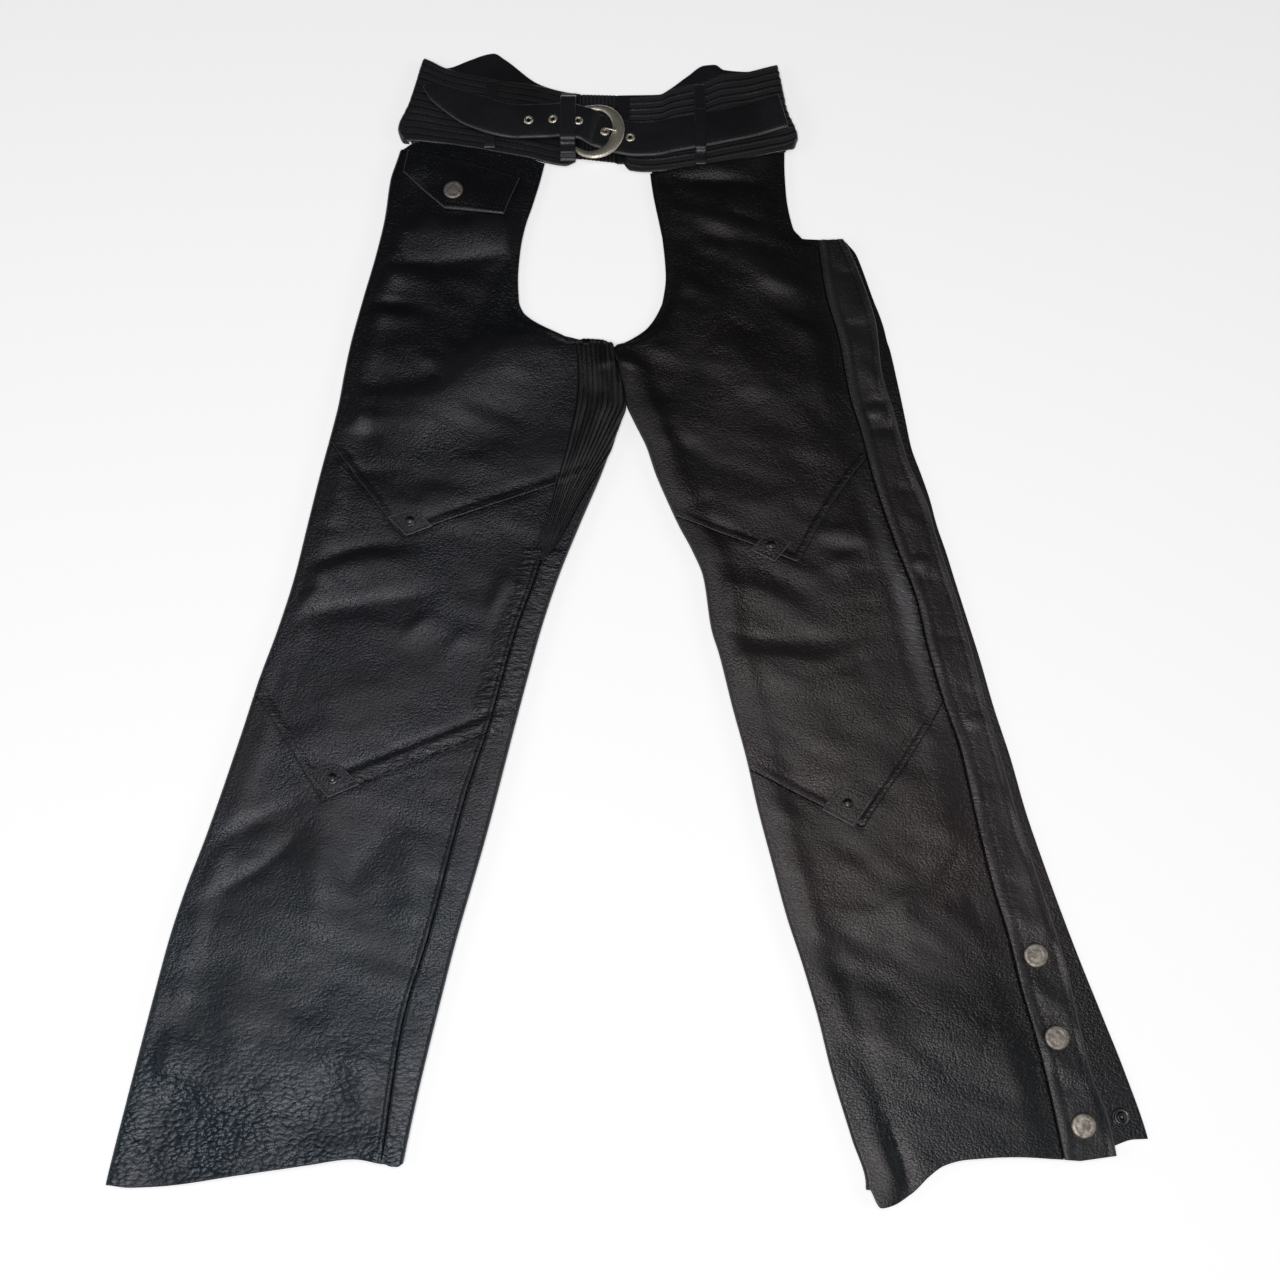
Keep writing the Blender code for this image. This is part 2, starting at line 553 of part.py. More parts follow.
def build_right_back(look):
    """The right back panel: flat below, rolled over the inner edge and up to the inseam."""
    quarter = ROLL * pi / 2
    hem, strip_hem = smooth_line(RIGHT_BACK_HEM), straight_line(RIGHT_STRIP_HEM)
    yoke_bottom = smooth_line(RIGHT_YOKE_BOTTOM)

    def row_at(up):
        flat_start = right_outer(up) + ROLL + UNDERLAP - quarter + HIDDEN_SEAM
        if up <= 760:
            edge = right_inner(up)
            last = right_back_end(up) + (CURVED_SEAM if up > 546 else SEAM / 2)
            first = max(8.5, last + 5)
            rolled = [8.5, quarter, quarter / 2, 0.0, -quarter / 2, -quarter,
                      (last - quarter) / 2, last]
            wrap = min(max((-last - 7) / 6, 0), 1)
            lengths = [mix(mix(first, last, k / 7), rolled[k], wrap) for k in range(8)]
            line = [leg_point("right", edge, -1, up, along) for along in lengths]
        else:
            below = rolled_point(right_inner(760), -1, 760, right_back_end(760))[0]
            edge = mix(right_front_end(up) - HEM_SETBACK, below - 0.45, ease((up - 760) / 16))
            line = [(mix(edge - 12, edge, k / 7), up, 0.0) for k in range(8)]
        flats = [(mix(flat_start, line[0][0], share), up, 0.0) for share in (0.0, 0.3, 0.7)]
        return list(reversed(flats + line))

    grid = [row_at(up) for up in [*all_rows(RIGHT_ROWS), 966]]
    for c, (across, up, z) in enumerate(grid[0]):
        for _ in range(3):
            share = (across - right_outer(up)) / (right_inner(up) - right_outer(up))
            up = strip_hem(share) if z > ROLL else hem(share)
            across, _, z = row_at(up)[c]
        grid[0][c] = (across, up, z)
    grid[-1] = [(across, yoke_bottom(max(across, -222)) + 0.5, z) for across, _, z in grid[-1]]
    leather_sheet("right_back", grid, LEATHER, look)


def build_right_gusset(look):
    """The ribbed stretch gusset that runs over the inner edge of the right thigh."""
    quarter = ROLL * pi / 2
    ups = [up for up in all_rows(RIGHT_ROWS) if 546 < up < 760]
    top_up = smooth_line([(0.0, 766), (0.12, 769), (0.45, 768), (0.72, 760.5), (1.0, 759)])
    grid = []
    for up in [*ups, None]:
        row = []
        for c in range(2 * GUSSET_RIBS + 1):
            share = c / (2 * GUSSET_RIBS)
            here = top_up(share) if up is None else up
            edge = right_inner(min(here, 760))
            start = right_front_end(min(here, 762)) + SEAM / 2 - edge + ROLL - quarter
            end = right_back_end(min(here, 760)) - CURVED_SEAM / 2
            row.append(leg_point("right", edge, -1, here, mix(start, end, share)))
        grid.append(row)

    def rib(r, c):
        z = grid[r][c][2]
        if c % 2 == 0 or z < ROLL * 0.4:
            return 0.0
        return GUSSET_RIB_HEIGHT * (1.0 if z > ROLL * 1.6 else 0.4)

    ribbed_wall("right_gusset", grid, GUSSET_WALL, rib, look)


def build_left_back(look):
    """The left back panel: flat from its free outer edge to the roll at the inner edge."""
    hem = smooth_line(LEFT_BACK_HEM)
    yoke_bottom = smooth_line(LEFT_YOKE_BOTTOM)
    ups = [up for up in all_rows(LEFT_ROWS) if up < 833]
    ups += [833, 848, 858, 865, 870, 872.5, 875, 885, 905, 928, 962]
    grid = []
    for index, up in enumerate(ups):
        row = []
        for share in (0.0, 0.05, 0.13, 0.5, 0.86, 1.0):
            here = up if up > 84 else mix(hem(share), 84, (up - ups[0]) / (84 - ups[0]))
            if index == len(ups) - 1:
                here = yoke_bottom(mix(149, 19, share)) + 0.5
            inner = left_inner(here) + HEM_SETBACK * (1 - closed_share(here))
            row.append((mix(left_outer(here), inner + ROLL, share), here, 0.0))
        edge_up = row[-1][1]
        inner = left_inner(edge_up) + HEM_SETBACK * (1 - closed_share(edge_up))
        for turn in reversed(LEFT_ROLL_TURNS):
            rolled = ROLL - ROLL * sin(turn)
            row.append((inner + ROLL * (1 - cos(turn)), edge_up, rolled * closed_share(edge_up)))
        grid.append(row)
    leather_sheet("left_back", grid, LEATHER, look)


def placket_height(across, up):
    """The placket's top: over the front panel at its seam, dipping between its snaps."""
    return FRONT_LIE + PLACKET_RISE + 0.5 * sin(pi * up / 84) ** 2


def build_placket(look):
    bottom, top = straight_line(PLACKET_BOTTOM), straight_line(PLACKET_TOP)
    shares = [0.0, 0.12, 0.5, 0.88, 1.0]
    grid = []
    for part in even_steps(28):
        row = []
        for share in shares:
            up = mix(bottom(share), top(share), part)
            across = mix(placket_seam(up) + CURVED_SEAM / 2, placket_edge(up), share)
            z = placket_height(across, up) - (0.3 if share in (0.0, 1.0) else 0.0)
            row.append((across, up, z))
        grid.append(row)
    leather_sheet("left_placket", grid, PLACKET_WALL, look)


def build_patches(look, metal):
    """A rhomb of leather on each V tip, and the rivet through it."""
    for patch in PATCHES:
        side = patch.name.split("_")[0]
        left = Vector((cos(radians(patch.left_turn)), sin(radians(patch.left_turn))))
        right = Vector((cos(radians(patch.right_turn)), sin(radians(patch.right_turn))))
        tip = Vector((patch.tip_across, patch.tip_up))
        grid = []
        for a in even_steps(3):
            row = []
            for b in even_steps(3):
                blunt = 0.86 if a == b == 1 else 1.0
                spot = tip + patch.side * blunt * (a * left + b * right)
                z = front_height(side, *spot) + SEAM + 0.2 + PATCH_WALL
                row.append((*spot, z))
            grid.append(row)
        leather_sheet(f"{patch.name}_patch", grid, PATCH_WALL, look)
        centre = tip + patch.side * 0.5 * (left + right)
        height, normal = surface_frame(lambda x, y: front_height(side, x, y), *centre, 5.0)
        seat = height + PATCH_WALL + 2 * SEAM + 0.2
        turned(f"{patch.name}_rivet", dome_profile(RIVET_RADIUS, 2.2), (*centre, seat), normal,
               metal, 12)


def dome_profile(radius, rise):
    """A low dome with a rounded rim, from its crown down and back to its middle."""
    return [(0, rise), (radius * 0.5, rise * 0.93), (radius * 0.84, rise * 0.68),
            (radius, rise * 0.34), (radius * 0.97, 0), (0, 0)]


def build_flap(look, metal):
    """The pocket flap on the right thigh: slanted, with a blunt point at its snap."""
    lower = straight_line([(0.0, 943), (0.42, 904), (1.0, 897)])
    upper = smooth_line([(0.0, 967), (0.5, 957), (1.0, 938)])
    left = straight_line([(0, -221), (1, -217)])
    right = straight_line([(0, -122), (0.55, -114), (1, -107)])
    grid = []
    for part in even_steps(5):
        row = []
        for share in (0.0, 0.1, 0.26, 0.42, 0.6, 0.8, 1.0):
            across = mix(left(part), right(part), share)
            up = mix(lower(share), upper(share), part)
            row.append((across, up, front_height("right", across, up) + 1.2 + FLAP_WALL))
        grid.append(row)
    leather_sheet("pocket_flap", grid, FLAP_WALL, look)
    height, normal = surface_frame(lambda x, y: front_height("right", x, y), -171, 922, 9)
    turned("pocket_snap", dome_profile(SNAP_RADIUS * 0.93, 3.4),
           (-171, 922, height + FLAP_WALL + 1.8), normal, metal)


def build_placket_snaps(metal):
    for index, (across, up) in enumerate([(371, 63), (355, 131), (342, 199)], 1):
        height, normal = surface_frame(placket_height, across, up, 9)
        turned(f"placket_snap_{index}", dome_profile(SNAP_RADIUS, 3.6),
               (across, up, height + SEAM), normal, metal)
    profile = [(0, 1.0), (2.0, 1.0), (2.3, 3.0), (3.5, 3.0), (3.9, 1.2), (SOCKET_RADIUS - 0.8, 1.0),
               (SOCKET_RADIUS, 0), (0, 0)]
    turned("hem_socket", profile, (403.5, 70, LEATHER + SEAM), (0, 0, 1), metal, 12)


# ---------------------------------------------------------------- the waist

YOKES = {
    "right": (smooth_line(RIGHT_YOKE_BOTTOM), smooth_line(RIGHT_YOKE_TOP),
              smooth_line(RIGHT_YOKE_SIDE), straight_line([(0, -54), (1, -54)]), 1),
    "left": (smooth_line(LEFT_YOKE_BOTTOM), smooth_line(LEFT_YOKE_TOP),
             smooth_line(LEFT_YOKE_SIDE), straight_line([(0, -6), (1, -1)]), -1),
}


def yoke_height(across, up):
    """Height of the front yokes between their ribs, lifted at the side folds."""
    side = "right" if across < -30 else "left"
    bottom, top, fold, inner_end, inward = YOKES[side]
    part = min(max((up - bottom(across)) / (top(across) - bottom(across)), 0), 1)
    inside = (across - fold(part)) * inward
    return YOKE_LIE + (2 * ROLL - YOKE_LIE) * ease((inside - ROLL) / ROLL_SPREAD)


def build_front_yoke(side, look):
    """A ribbed yoke, from its inner end over the side fold and a little way below."""
    bottom, top, fold, inner_end, inward = YOKES[side]
    quarter = ROLL * pi / 2
    grid = []
    for part in even_steps(2 * YOKE_RIBS):
        row = []
        side_across = fold(part)
        side_up = mix(bottom(side_across), top(side_across), part)
        for along in (UNDERLAP - 3, quarter, 0.0):
            row.append(rolled_point(side_across, inward, side_up, along))
        for share in (0.0, 0.07, 0.18, 0.35, 0.55, 0.78, 1.0):
            across = mix(side_across + inward * ROLL, inner_end(part), share)
            up = mix(bottom(across), top(across), part)
            row.append((across, up, yoke_height(across, up)))
        if side == "left":
            row.reverse()
        grid.append(row)

    def rib(r, c):
        return RIB_HEIGHT if r % 2 and grid[r][c][2] > ROLL * 0.9 else 0.0

    ribbed_wall(f"{side}_yoke", grid, YOKE_WALL, rib, look)


def build_back_waist(look, insert_look):
    """The back yokes lie flat on the surface, with a ribbed insert between them."""
    spans = {"right": (RIGHT_YOKE_BOTTOM, RIGHT_BACK_TOP, RIGHT_YOKE_SIDE, -50.15, 1),
             "left": (LEFT_YOKE_BOTTOM, LEFT_BACK_TOP, LEFT_YOKE_SIDE, -13.85, -1)}
    for side, (lower, upper, fold_rows, inner, inward) in spans.items():
        bottom, top, fold = smooth_line(lower), smooth_line(upper), smooth_line(fold_rows)
        low_inner = 961 if side == "right" else 958.5
        columns = [0.0, 0.06, 0.14, 0.24, 0.34, 0.42, 0.48, 0.56, 0.7, 0.85, 1.0]
        grid = []
        for part in even_steps(4):
            row = []
            start = fold(part) + inward * (ROLL + UNDERLAP - 3 - ROLL * pi / 2 + HIDDEN_SEAM)
            for share in columns:
                across = mix(start, inner, share)
                low = max(bottom(across), low_inner) + 1.0
                row.append((across, mix(low, top(across), part), 0.0))
            if side == "right":
                row.reverse()
            grid.append(row)
        leather_sheet(f"{side}_back_yoke", grid, YOKE_BACK_WALL, look)
    bottom, top = straight_line(WAIST_INSERT_BOTTOM), straight_line(WAIST_INSERT_TOP)
    ribs = 9
    grid = []
    for part in even_steps(4):
        row = []
        for c in range(2 * ribs + 1):
            across = mix(WAIST_INSERT_BOTTOM[0][0], WAIST_INSERT_BOTTOM[1][0], c / (2 * ribs))
            row.append((across, mix(bottom(across), top(across), part), YOKE_BACK_WALL * 0.6))
        grid.append(row)
    ribbed_wall("back_waist_insert", grid, YOKE_BACK_WALL * 0.6, lambda r, c: 0.8 if c % 2 else 0.0,
                insert_look)


strap_up = smooth_line([(s.across, s.up) for s in STRAP_STATIONS])
strap_half = smooth_line([(s.across, s.half_width) for s in STRAP_STATIONS])
strap_rise = smooth_line([(s.across, s.rise) for s in STRAP_STATIONS])


def strap_rest(across, up):
    """The strap's top where it lies straight on the yokes' ribs."""
    rest = YOKE_LIE if -54 < across < -1 else yoke_height(across, up)
    return rest + RIB_HEIGHT + SEAM + STRAP_WALL


def strap_height(across, up):
    """The same, plus what the strap climbs over."""
    return strap_rest(across, up) + strap_rise(across)


def strap_slope(across):
    return Vector((1, (strap_up(across + 1) - strap_up(across - 1)) / 2)).normalized()


def build_strap(look, metal):
    """The waist strap with its pointed tip, its punched holes and their eyelets."""
    grid = [[], [], [], []]
    for station in STRAP_STATIONS:
        forward = strap_slope(station.across)
        middle = Vector((station.across, station.up))
        aside = Vector((-forward.y, forward.x)) * station.half_width
        z = station.rise + max(strap_rest(*(middle + aside * share)) for share in (-1, 0, 1))
        for row, share in zip(grid, (-1.0, -0.45, 0.45, 1.0)):
            row.append((*(middle + aside * share), z - (0.2 if abs(share) == 1 else 0)))
    strap = leather_sheet("waist_strap", grid, STRAP_WALL, look)
    middles = [(Vector(a) + Vector(b)) / 2 for a, b in zip(grid[1], grid[2])]
    for index, across in enumerate(EYELET_ALONG, 1):
        before = max((m for m in middles if m.x <= across), key=lambda m: m.x)
        after = min((m for m in middles if m.x > across), key=lambda m: m.x)
        seat = before.lerp(after, (across - before.x) / (after.x - before.x))
        forward = (after - before).normalized()
        normal = forward.cross(Vector((-forward.y, forward.x, 0))).normalized()
        punch = add_cutter(f"punch_{index}", "cylinder", seat)
        punch.scale = (STRAP_HOLE * MM, STRAP_HOLE * MM, 8 * MM)
        punch.rotation_mode = "QUATERNION"
        punch.rotation_quaternion = Vector((0, 0, 1)).rotation_difference(normal)
        cut_out(strap, punch)
        profile = [(EYELET_BORE, 0.9), (EYELET_BORE + 1.0, 1.25), (EYELET_FLANGE - 0.5, 0.95),
                   (EYELET_FLANGE, SEAM), (EYELET_BARREL, SEAM), (EYELET_BARREL, -2.2),
                   (EYELET_BORE, -2.2)]
        turned(f"eyelet_{index}", profile, seat, normal, metal, 12)


def add_cutter(name, kind, centre):
    """A unit cylinder or a unit cube in the cutters' collection."""
    if kind == "cylinder":
        bpy.ops.mesh.primitive_cylinder_add(vertices=14, radius=1, depth=2)
    else:
        bpy.ops.mesh.primitive_cube_add(size=1)
    cutter = bpy.context.object
    cutter.name = name
    cutter.location = in_metres(centre)
    for owner in list(cutter.users_collection):
        owner.objects.unlink(cutter)
    cutters.objects.link(cutter)
    cutter.hide_render = True
    cutter.display_type = "WIRE"
    return cutter


def cut_out(solid, cutter):
    hole = solid.modifiers.new(cutter.name, "BOOLEAN")
    hole.operation = "DIFFERENCE"
    hole.object = cutter


def buckle_spot(along, aside):
    """A point in the buckle's own turned plan."""
    return (BUCKLE_CENTRE[0] + along * cos(BUCKLE_TURN) - aside * sin(BUCKLE_TURN),
            BUCKLE_CENTRE[1] + along * sin(BUCKLE_TURN) + aside * cos(BUCKLE_TURN))


def build_buckle(metal):
    """The frame swells from a thin hidden bar to a broad bow, and tilts up to its bow."""
    sides = 8
    half = BUCKLE_STATIONS
    outline = half + [s._replace(aside=-s.aside) for s in reversed(half[1:])]
    points = []
    for i, station in enumerate(outline):
        before, after = outline[i - 1], outline[(i + 1) % len(outline)]
        run = Vector((after.along - before.along, after.aside - before.aside)).normalized()
        for k in range(sides):
            turn = 2 * pi * (k + 0.5) / sides
            out = station.half_width * cos(turn)
            thickness = max(BUCKLE_THICKNESS / 2 if station.half_width > 2 else 0, BAR_RADIUS)
            spot = buckle_spot(station.along + out * run.y, station.aside - out * run.x)
            points.append((*spot, station.height + thickness * sin(turn)))
    faces = []
    for i in range(len(outline)):
        j = (i + 1) % len(outline)
        for k in range(sides):
            m = (k + 1) % sides
            faces.append((i * sides + k, j * sides + k, j * sides + m, i * sides + m))
    mesh = bpy.data.meshes.new("buckle_frame")
    mesh.from_pydata([in_metres(p) for p in points], [], faces)
    add_object("buckle_frame", mesh, metal).data.shade_smooth()


def prong_hole():
    """The strap hole that the prong stands in, in the buckle's plan."""
    across = EYELET_ALONG[3] - BUCKLE_CENTRE[0]
    up = strap_up(EYELET_ALONG[3]) - BUCKLE_CENTRE[1]
    return (across * cos(BUCKLE_TURN) + up * sin(BUCKLE_TURN),
            up * cos(BUCKLE_TURN) - across * sin(BUCKLE_TURN))


def build_prong(metal):
    """The prong: round the hidden bar, along below the strap, up its hole and onto the bow."""
    bar, bow = BUCKLE_STATIONS[-1], BUCKLE_STATIONS[0]
    hole_along, hole_aside = prong_hole()
    loop = BAR_RADIUS + 0.25 + PRONG_RADIUS
    low, bend = 4.6, 2.4
    high = bow.height + BUCKLE_THICKNESS / 2 + SEAM + PRONG_RADIUS
    route = [(bar.along + loop * cos(radians(t)), bar.height + loop * sin(radians(t)))
             for t in range(50, 271, 36)]
    route += [(bar.along + 7, bar.height - loop - 0.1), (bar.along + 14, low + 0.6)]
    route += [(hole_along - bend + bend * sin(radians(t)), low + bend - bend * cos(radians(t)))
              for t in (0, 45, 90)]
    route += [(hole_along + bend - bend * cos(radians(t)), high - bend + bend * sin(radians(t)))
              for t in (0, 45, 90)]
    route += [(bow.along - 1.5, high)]
    line = bpy.data.curves.new("buckle_prong", "CURVE")
    line.dimensions = "3D"
    line.bevel_depth = PRONG_RADIUS * MM
    line.bevel_resolution = 1
    line.use_fill_caps = True
    spline = line.splines.new("POLY")
    spline.points.add(len(route) - 1)
    for point, (along, z) in zip(spline.points, route):
        point.co = (*in_metres((*buckle_spot(along, hole_aside), z)), 1)
    line.materials.append(metal)
    prong = bpy.data.objects.new("buckle_prong", line)
    chaps.objects.link(prong)
    prong.parent = frame


def build_chape(look):
    """The chape: a strip that runs round the hidden bar, slotted for the prong."""
    bar = BUCKLE_STATIONS[-1]
    radius = BAR_RADIUS + SEAM + CHAPE_WALL
    low = YOKE_LIE + RIB_HEIGHT + SEAM
    high = low + 2 * CHAPE_WALL + SEAM
    route = [(-61, low), (-48, low), (-36, low), (bar.along - 1, bar.height - radius)]
    route += [(bar.along + radius * cos(radians(t)), bar.height + radius * sin(radians(t)))
              for t in (-60, -30, 0, 30, 60, 90)]
    route += [(-31.5, bar.height + radius - 0.6), (-37.5, high + 0.8), (-48, high), (-61, high)]
    grid = [[(*buckle_spot(along, aside), z) for along, z in route]
            for aside in (CHAPE_HALF_WIDTH, 0.0, -CHAPE_HALF_WIDTH)]
    chape = leather_sheet("buckle_chape", grid, CHAPE_WALL, look)
    slot = add_cutter("chape_slot", "cube", (*buckle_spot(-25, prong_hole()[1]), bar.height))
    slot.scale = (0.016, 0.0034, 0.012)
    slot.rotation_euler = (0, 0, BUCKLE_TURN)
    cut_out(chape, slot)


def build_band(name, across_low, across_high, width, profile, wall, look):
    """A narrow loop of leather: its (up, height of its top) profile, drawn across its width."""
    grid = []
    for up, z in profile:
        part = (up - profile[0][0]) / (profile[-1][0] - profile[0][0])
        middle = mix(across_low, across_high, part)
        grid.append([(middle - width / 2, up, z), (middle, up, z), (middle + width / 2, up, z)])
    leather_sheet(name, grid, wall, look)


def build_loops(look):
    """The keeper over the strap, and the two belt loops."""
    wall = 1.4
    rest = YOKE_LIE + RIB_HEIGHT + SEAM + wall
    over_strap = strap_height(-60, 997) + SEAM + 1.3 + wall
    over_arm = 12.6 + wall
    build_band("strap_keeper", -61.5, -61.5, 15,
               [(956, rest), (958.5, rest + 0.6), (961.5, over_arm), (970, over_arm + 0.6),
                (974.5, over_strap - 0.6), (980, over_strap), (997, over_strap),
                (1014, over_strap), (1019.5, over_strap - 0.8), (1024.5, over_arm),
                (1029, rest + 0.6), (1032, rest)], wall, look)
    beyond = strap_height(67, 991) + SEAM + wall
    build_band("left_belt_loop", 68, 67, 10.5,
               [(953, rest), (962, rest), (966.5, rest + 0.6), (970, beyond), (990, beyond),
                (1011, beyond), (1015, rest + 0.6), (1020, rest), (1042, rest)], wall, look)
    build_band("right_belt_loop", -138, -138, 11,
               [(971, rest), (985, rest), (1010, rest), (1030, rest), (1046, rest)], wall, look)


# ---------------------------------------------------------------- assembly

for old in list(bpy.data.objects):
    bpy.data.objects.remove(old, do_unlink=True)
chaps = bpy.data.collections.new("leather_chaps")
cutters = bpy.data.collections.new("cutters")
bpy.context.scene.collection.children.link(chaps)
bpy.context.scene.collection.children.link(cutters)
frame = bpy.data.objects.new("chaps_frame", None)
chaps.objects.link(frame)

leather = material("black leather", BLACK, 0.42)
knee_leather = material("brown-black leather", BROWN_BLACK, 0.45)
hem_leather = material("green-black leather", GREEN_BLACK, 0.40)
strap_leather = material("strap leather", BLACK, 0.34)
nickel = material("antique nickel", NICKEL, 0.38, 1.0)
silver = material("antique silver", SILVER, 0.32, 1.0)
panel_looks = {"shin": hem_leather, "knee": knee_leather, "thigh": leather}

build_fronts("right", RIGHT_HEM, RIGHT_LOWER_VEE, RIGHT_UPPER_VEE, RIGHT_YOKE_SEAM,
             RIGHT_ROWS, panel_looks)
build_fronts("left", LEFT_HEM, LEFT_LOWER_VEE, LEFT_UPPER_VEE, LEFT_YOKE_SEAM,
             LEFT_ROWS, panel_looks)
build_right_back(hem_leather)
build_right_gusset(leather)
build_left_back(hem_leather)
build_placket(knee_leather)
build_patches(leather, nickel)
build_flap(leather, nickel)
build_placket_snaps(nickel)
build_front_yoke("right", leather)
build_front_yoke("left", leather)
build_back_waist(leather, leather)
build_strap(strap_leather, silver)
build_buckle(silver)
build_prong(silver)
build_chape(strap_leather)
build_loops(strap_leather)
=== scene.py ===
# %% [markdown]
# # Leather riding chaps, laid flat
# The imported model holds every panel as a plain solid. This lesson dresses it: each panel gets
# a thin shell of leather with its creases, seams and edges, and each fitting gets its finish.
# The solids give the places and sizes, so they are loaded first and never moved.

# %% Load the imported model
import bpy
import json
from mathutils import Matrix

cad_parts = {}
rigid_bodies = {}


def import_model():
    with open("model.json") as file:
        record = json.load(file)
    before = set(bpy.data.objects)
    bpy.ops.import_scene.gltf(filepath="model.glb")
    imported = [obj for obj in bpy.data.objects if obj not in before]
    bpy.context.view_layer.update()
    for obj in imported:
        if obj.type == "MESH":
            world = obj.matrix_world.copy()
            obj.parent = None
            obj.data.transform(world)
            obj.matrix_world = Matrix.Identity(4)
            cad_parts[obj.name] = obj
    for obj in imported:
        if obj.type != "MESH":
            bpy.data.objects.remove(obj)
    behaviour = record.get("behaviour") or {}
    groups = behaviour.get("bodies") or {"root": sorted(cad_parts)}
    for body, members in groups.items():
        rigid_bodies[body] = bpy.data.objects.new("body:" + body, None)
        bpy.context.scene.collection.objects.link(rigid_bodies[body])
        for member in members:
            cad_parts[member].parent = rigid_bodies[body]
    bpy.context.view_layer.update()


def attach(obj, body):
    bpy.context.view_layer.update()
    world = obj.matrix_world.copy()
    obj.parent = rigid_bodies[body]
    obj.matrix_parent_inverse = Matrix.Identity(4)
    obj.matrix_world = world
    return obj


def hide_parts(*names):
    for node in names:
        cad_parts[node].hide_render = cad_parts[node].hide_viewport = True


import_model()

import json
from collections import namedtuple
from math import cos, pi, radians, sin

import bpy
import numpy as np
from mathutils import Vector

MM = 0.001

# %% [markdown]
# The camera looks down on the laid garment from its hem side. It comes first, because each
# later choice, such as how fine a crease has to be, is judged through it.

# %% Camera


def add_object(name, data):
    made = bpy.data.objects.new(name, data)
    bpy.context.scene.collection.objects.link(made)
    return made


def look_at(thing, place, target):
    thing.location = place
    thing.rotation_euler = (Vector(target) - Vector(place)).to_track_quat("-Z", "Y").to_euler()


camera = add_object("camera", bpy.data.cameras.new("camera"))
camera.data.lens, camera.data.sensor_width = 42.1875, 36
look_at(camera, (0.0086, -0.41073, 1.29365), (0.0086, -0.0641, 0))
bpy.context.scene.camera = camera
print("camera height", camera.location.z, "m")

# %% [markdown]
# A garment is described best in its own plan: `across` from the centre to the wearer's left,
# `up` from the lowest hem corner to the waist, and `z` over the surface, all in millimetres.
# Smooth curves through short tables give each edge.

# %% Curves through tables
LENGTH = 1081.0                # lowest hem corner to the peak of the back yoke


def rows(text):
    """The rows of a table as numbers; the first one names the columns and is left out."""
    return [[float(cell) for cell in row.split()] for row in text.split(",")[1:]]


def columns(text):
    """(first cell, other cell) points for each other column; nan is a gap in a column."""
    table = rows(text)
    return [[(row[0], row[k]) for row in table if row[k] == row[k]]
            for k in range(1, len(table[0]))]


def smooth_line(points):
    """A smooth function through (where, value) points that never overshoots them."""
    wheres, values = (np.array(v, float) for v in zip(*sorted(points)))
    steps = np.diff(values) / np.diff(wheres)
    slopes = np.concatenate([steps[:1], np.zeros(len(steps) - 1), steps[-1:]])
    same_way = steps[:-1] * steps[1:] > 0
    sums = np.where(same_way, steps[:-1] + steps[1:], 1.0)
    slopes[1:-1] = np.where(same_way, 2 * steps[:-1] * steps[1:] / sums, 0.0)

    def value_at(where):
        where = np.asarray(where, float)
        i = np.clip(np.searchsorted(wheres, where, side="right") - 1, 0, len(steps) - 1)
        span = wheres[i + 1] - wheres[i]
        t = (where - wheres[i]) / span
        inside = (values[i] * (1 + 2 * t) * (1 - t) ** 2 + span * slopes[i] * t * (1 - t) ** 2
                  + values[i + 1] * t * t * (3 - 2 * t) + span * slopes[i + 1] * t * t * (t - 1))
        before = values[0] + slopes[0] * (where - wheres[0])
        after = values[-1] + slopes[-1] * (where - wheres[-1])
        return np.where(where < wheres[0], before, np.where(where > wheres[-1], after, inside))

    return value_at


def line_from(text, kind=None):
    """The line of a table with two columns, smooth where no other kind is given."""
    return (kind or smooth_line)(*columns(text))


def straight_line(points):
    """A function that runs straight from point to point, and on at both ends."""
    wheres, values = (np.array(v, float) for v in zip(*sorted(points)))
    slopes = np.diff(values) / np.diff(wheres)

    def value_at(where):
        i = np.clip(np.searchsorted(wheres, where, side="right") - 1, 0, len(slopes) - 1)
        return values[i] + slopes[i] * (where - wheres[i])

    return value_at


def mix(low, high, share):
    return low + (high - low) * share


def ease(share):
    """1 at 0, 0 from 1 on, level at both ends."""
    share = np.clip(share, 0.0, 1.0)
    return (1 - share) ** 2 * (1 + 2 * share)


def bump_at(distance, half_width):
    return np.exp(-(distance / half_width) ** 2)


def steps_between(low, high, pitch):
    """Even steps of about one pitch, both ends included."""
    return np.linspace(low, high, max(2, int(round(abs(high - low) / pitch)) + 1))


def spots_at(*parts):
    """Points from their across, up and z, each a number or an array."""
    return np.stack(np.broadcast_arrays(*parts), -1)


def in_metres(points):
    return (np.asarray(points, float) - (0, LENGTH / 2, 0)) * MM


print("one metre up is", in_metres((0, 1000, 0)))

# %% [markdown]
# The outline of each leg is a list of sections: where the folded or open edge lies at each
# height. The right leg is folded at both sides; the left leg is open along its side, where a
# strip with snaps, the placket, covers the join.

# %% Outline tables
LEATHER = 1.6                  # wall of the leg panels
SEAM, CURVED_SEAM = 0.1, 0.25  # gap between pieces at a seam
HIDDEN_SEAM = 2.2
FRONT_LIE = 2 * LEATHER + 0.5  # top of a front that lies on its back, with air between
ROLL = 3.6                     # radius of the rolled fold at a leg's edge
QUARTER = ROLL * pi / 2
ROLL_SPREAD = 34.0             # how far in from the edge the fold's lift dies away
UNDERLAP = 12.0                # how far a front panel runs on below its fold
HEM_SETBACK = 2.0
GUSSET_FOOT = 546              # the gusset starts here, over the inseam
SEAT_FOOT = 760                # the right leg opens here into the seat

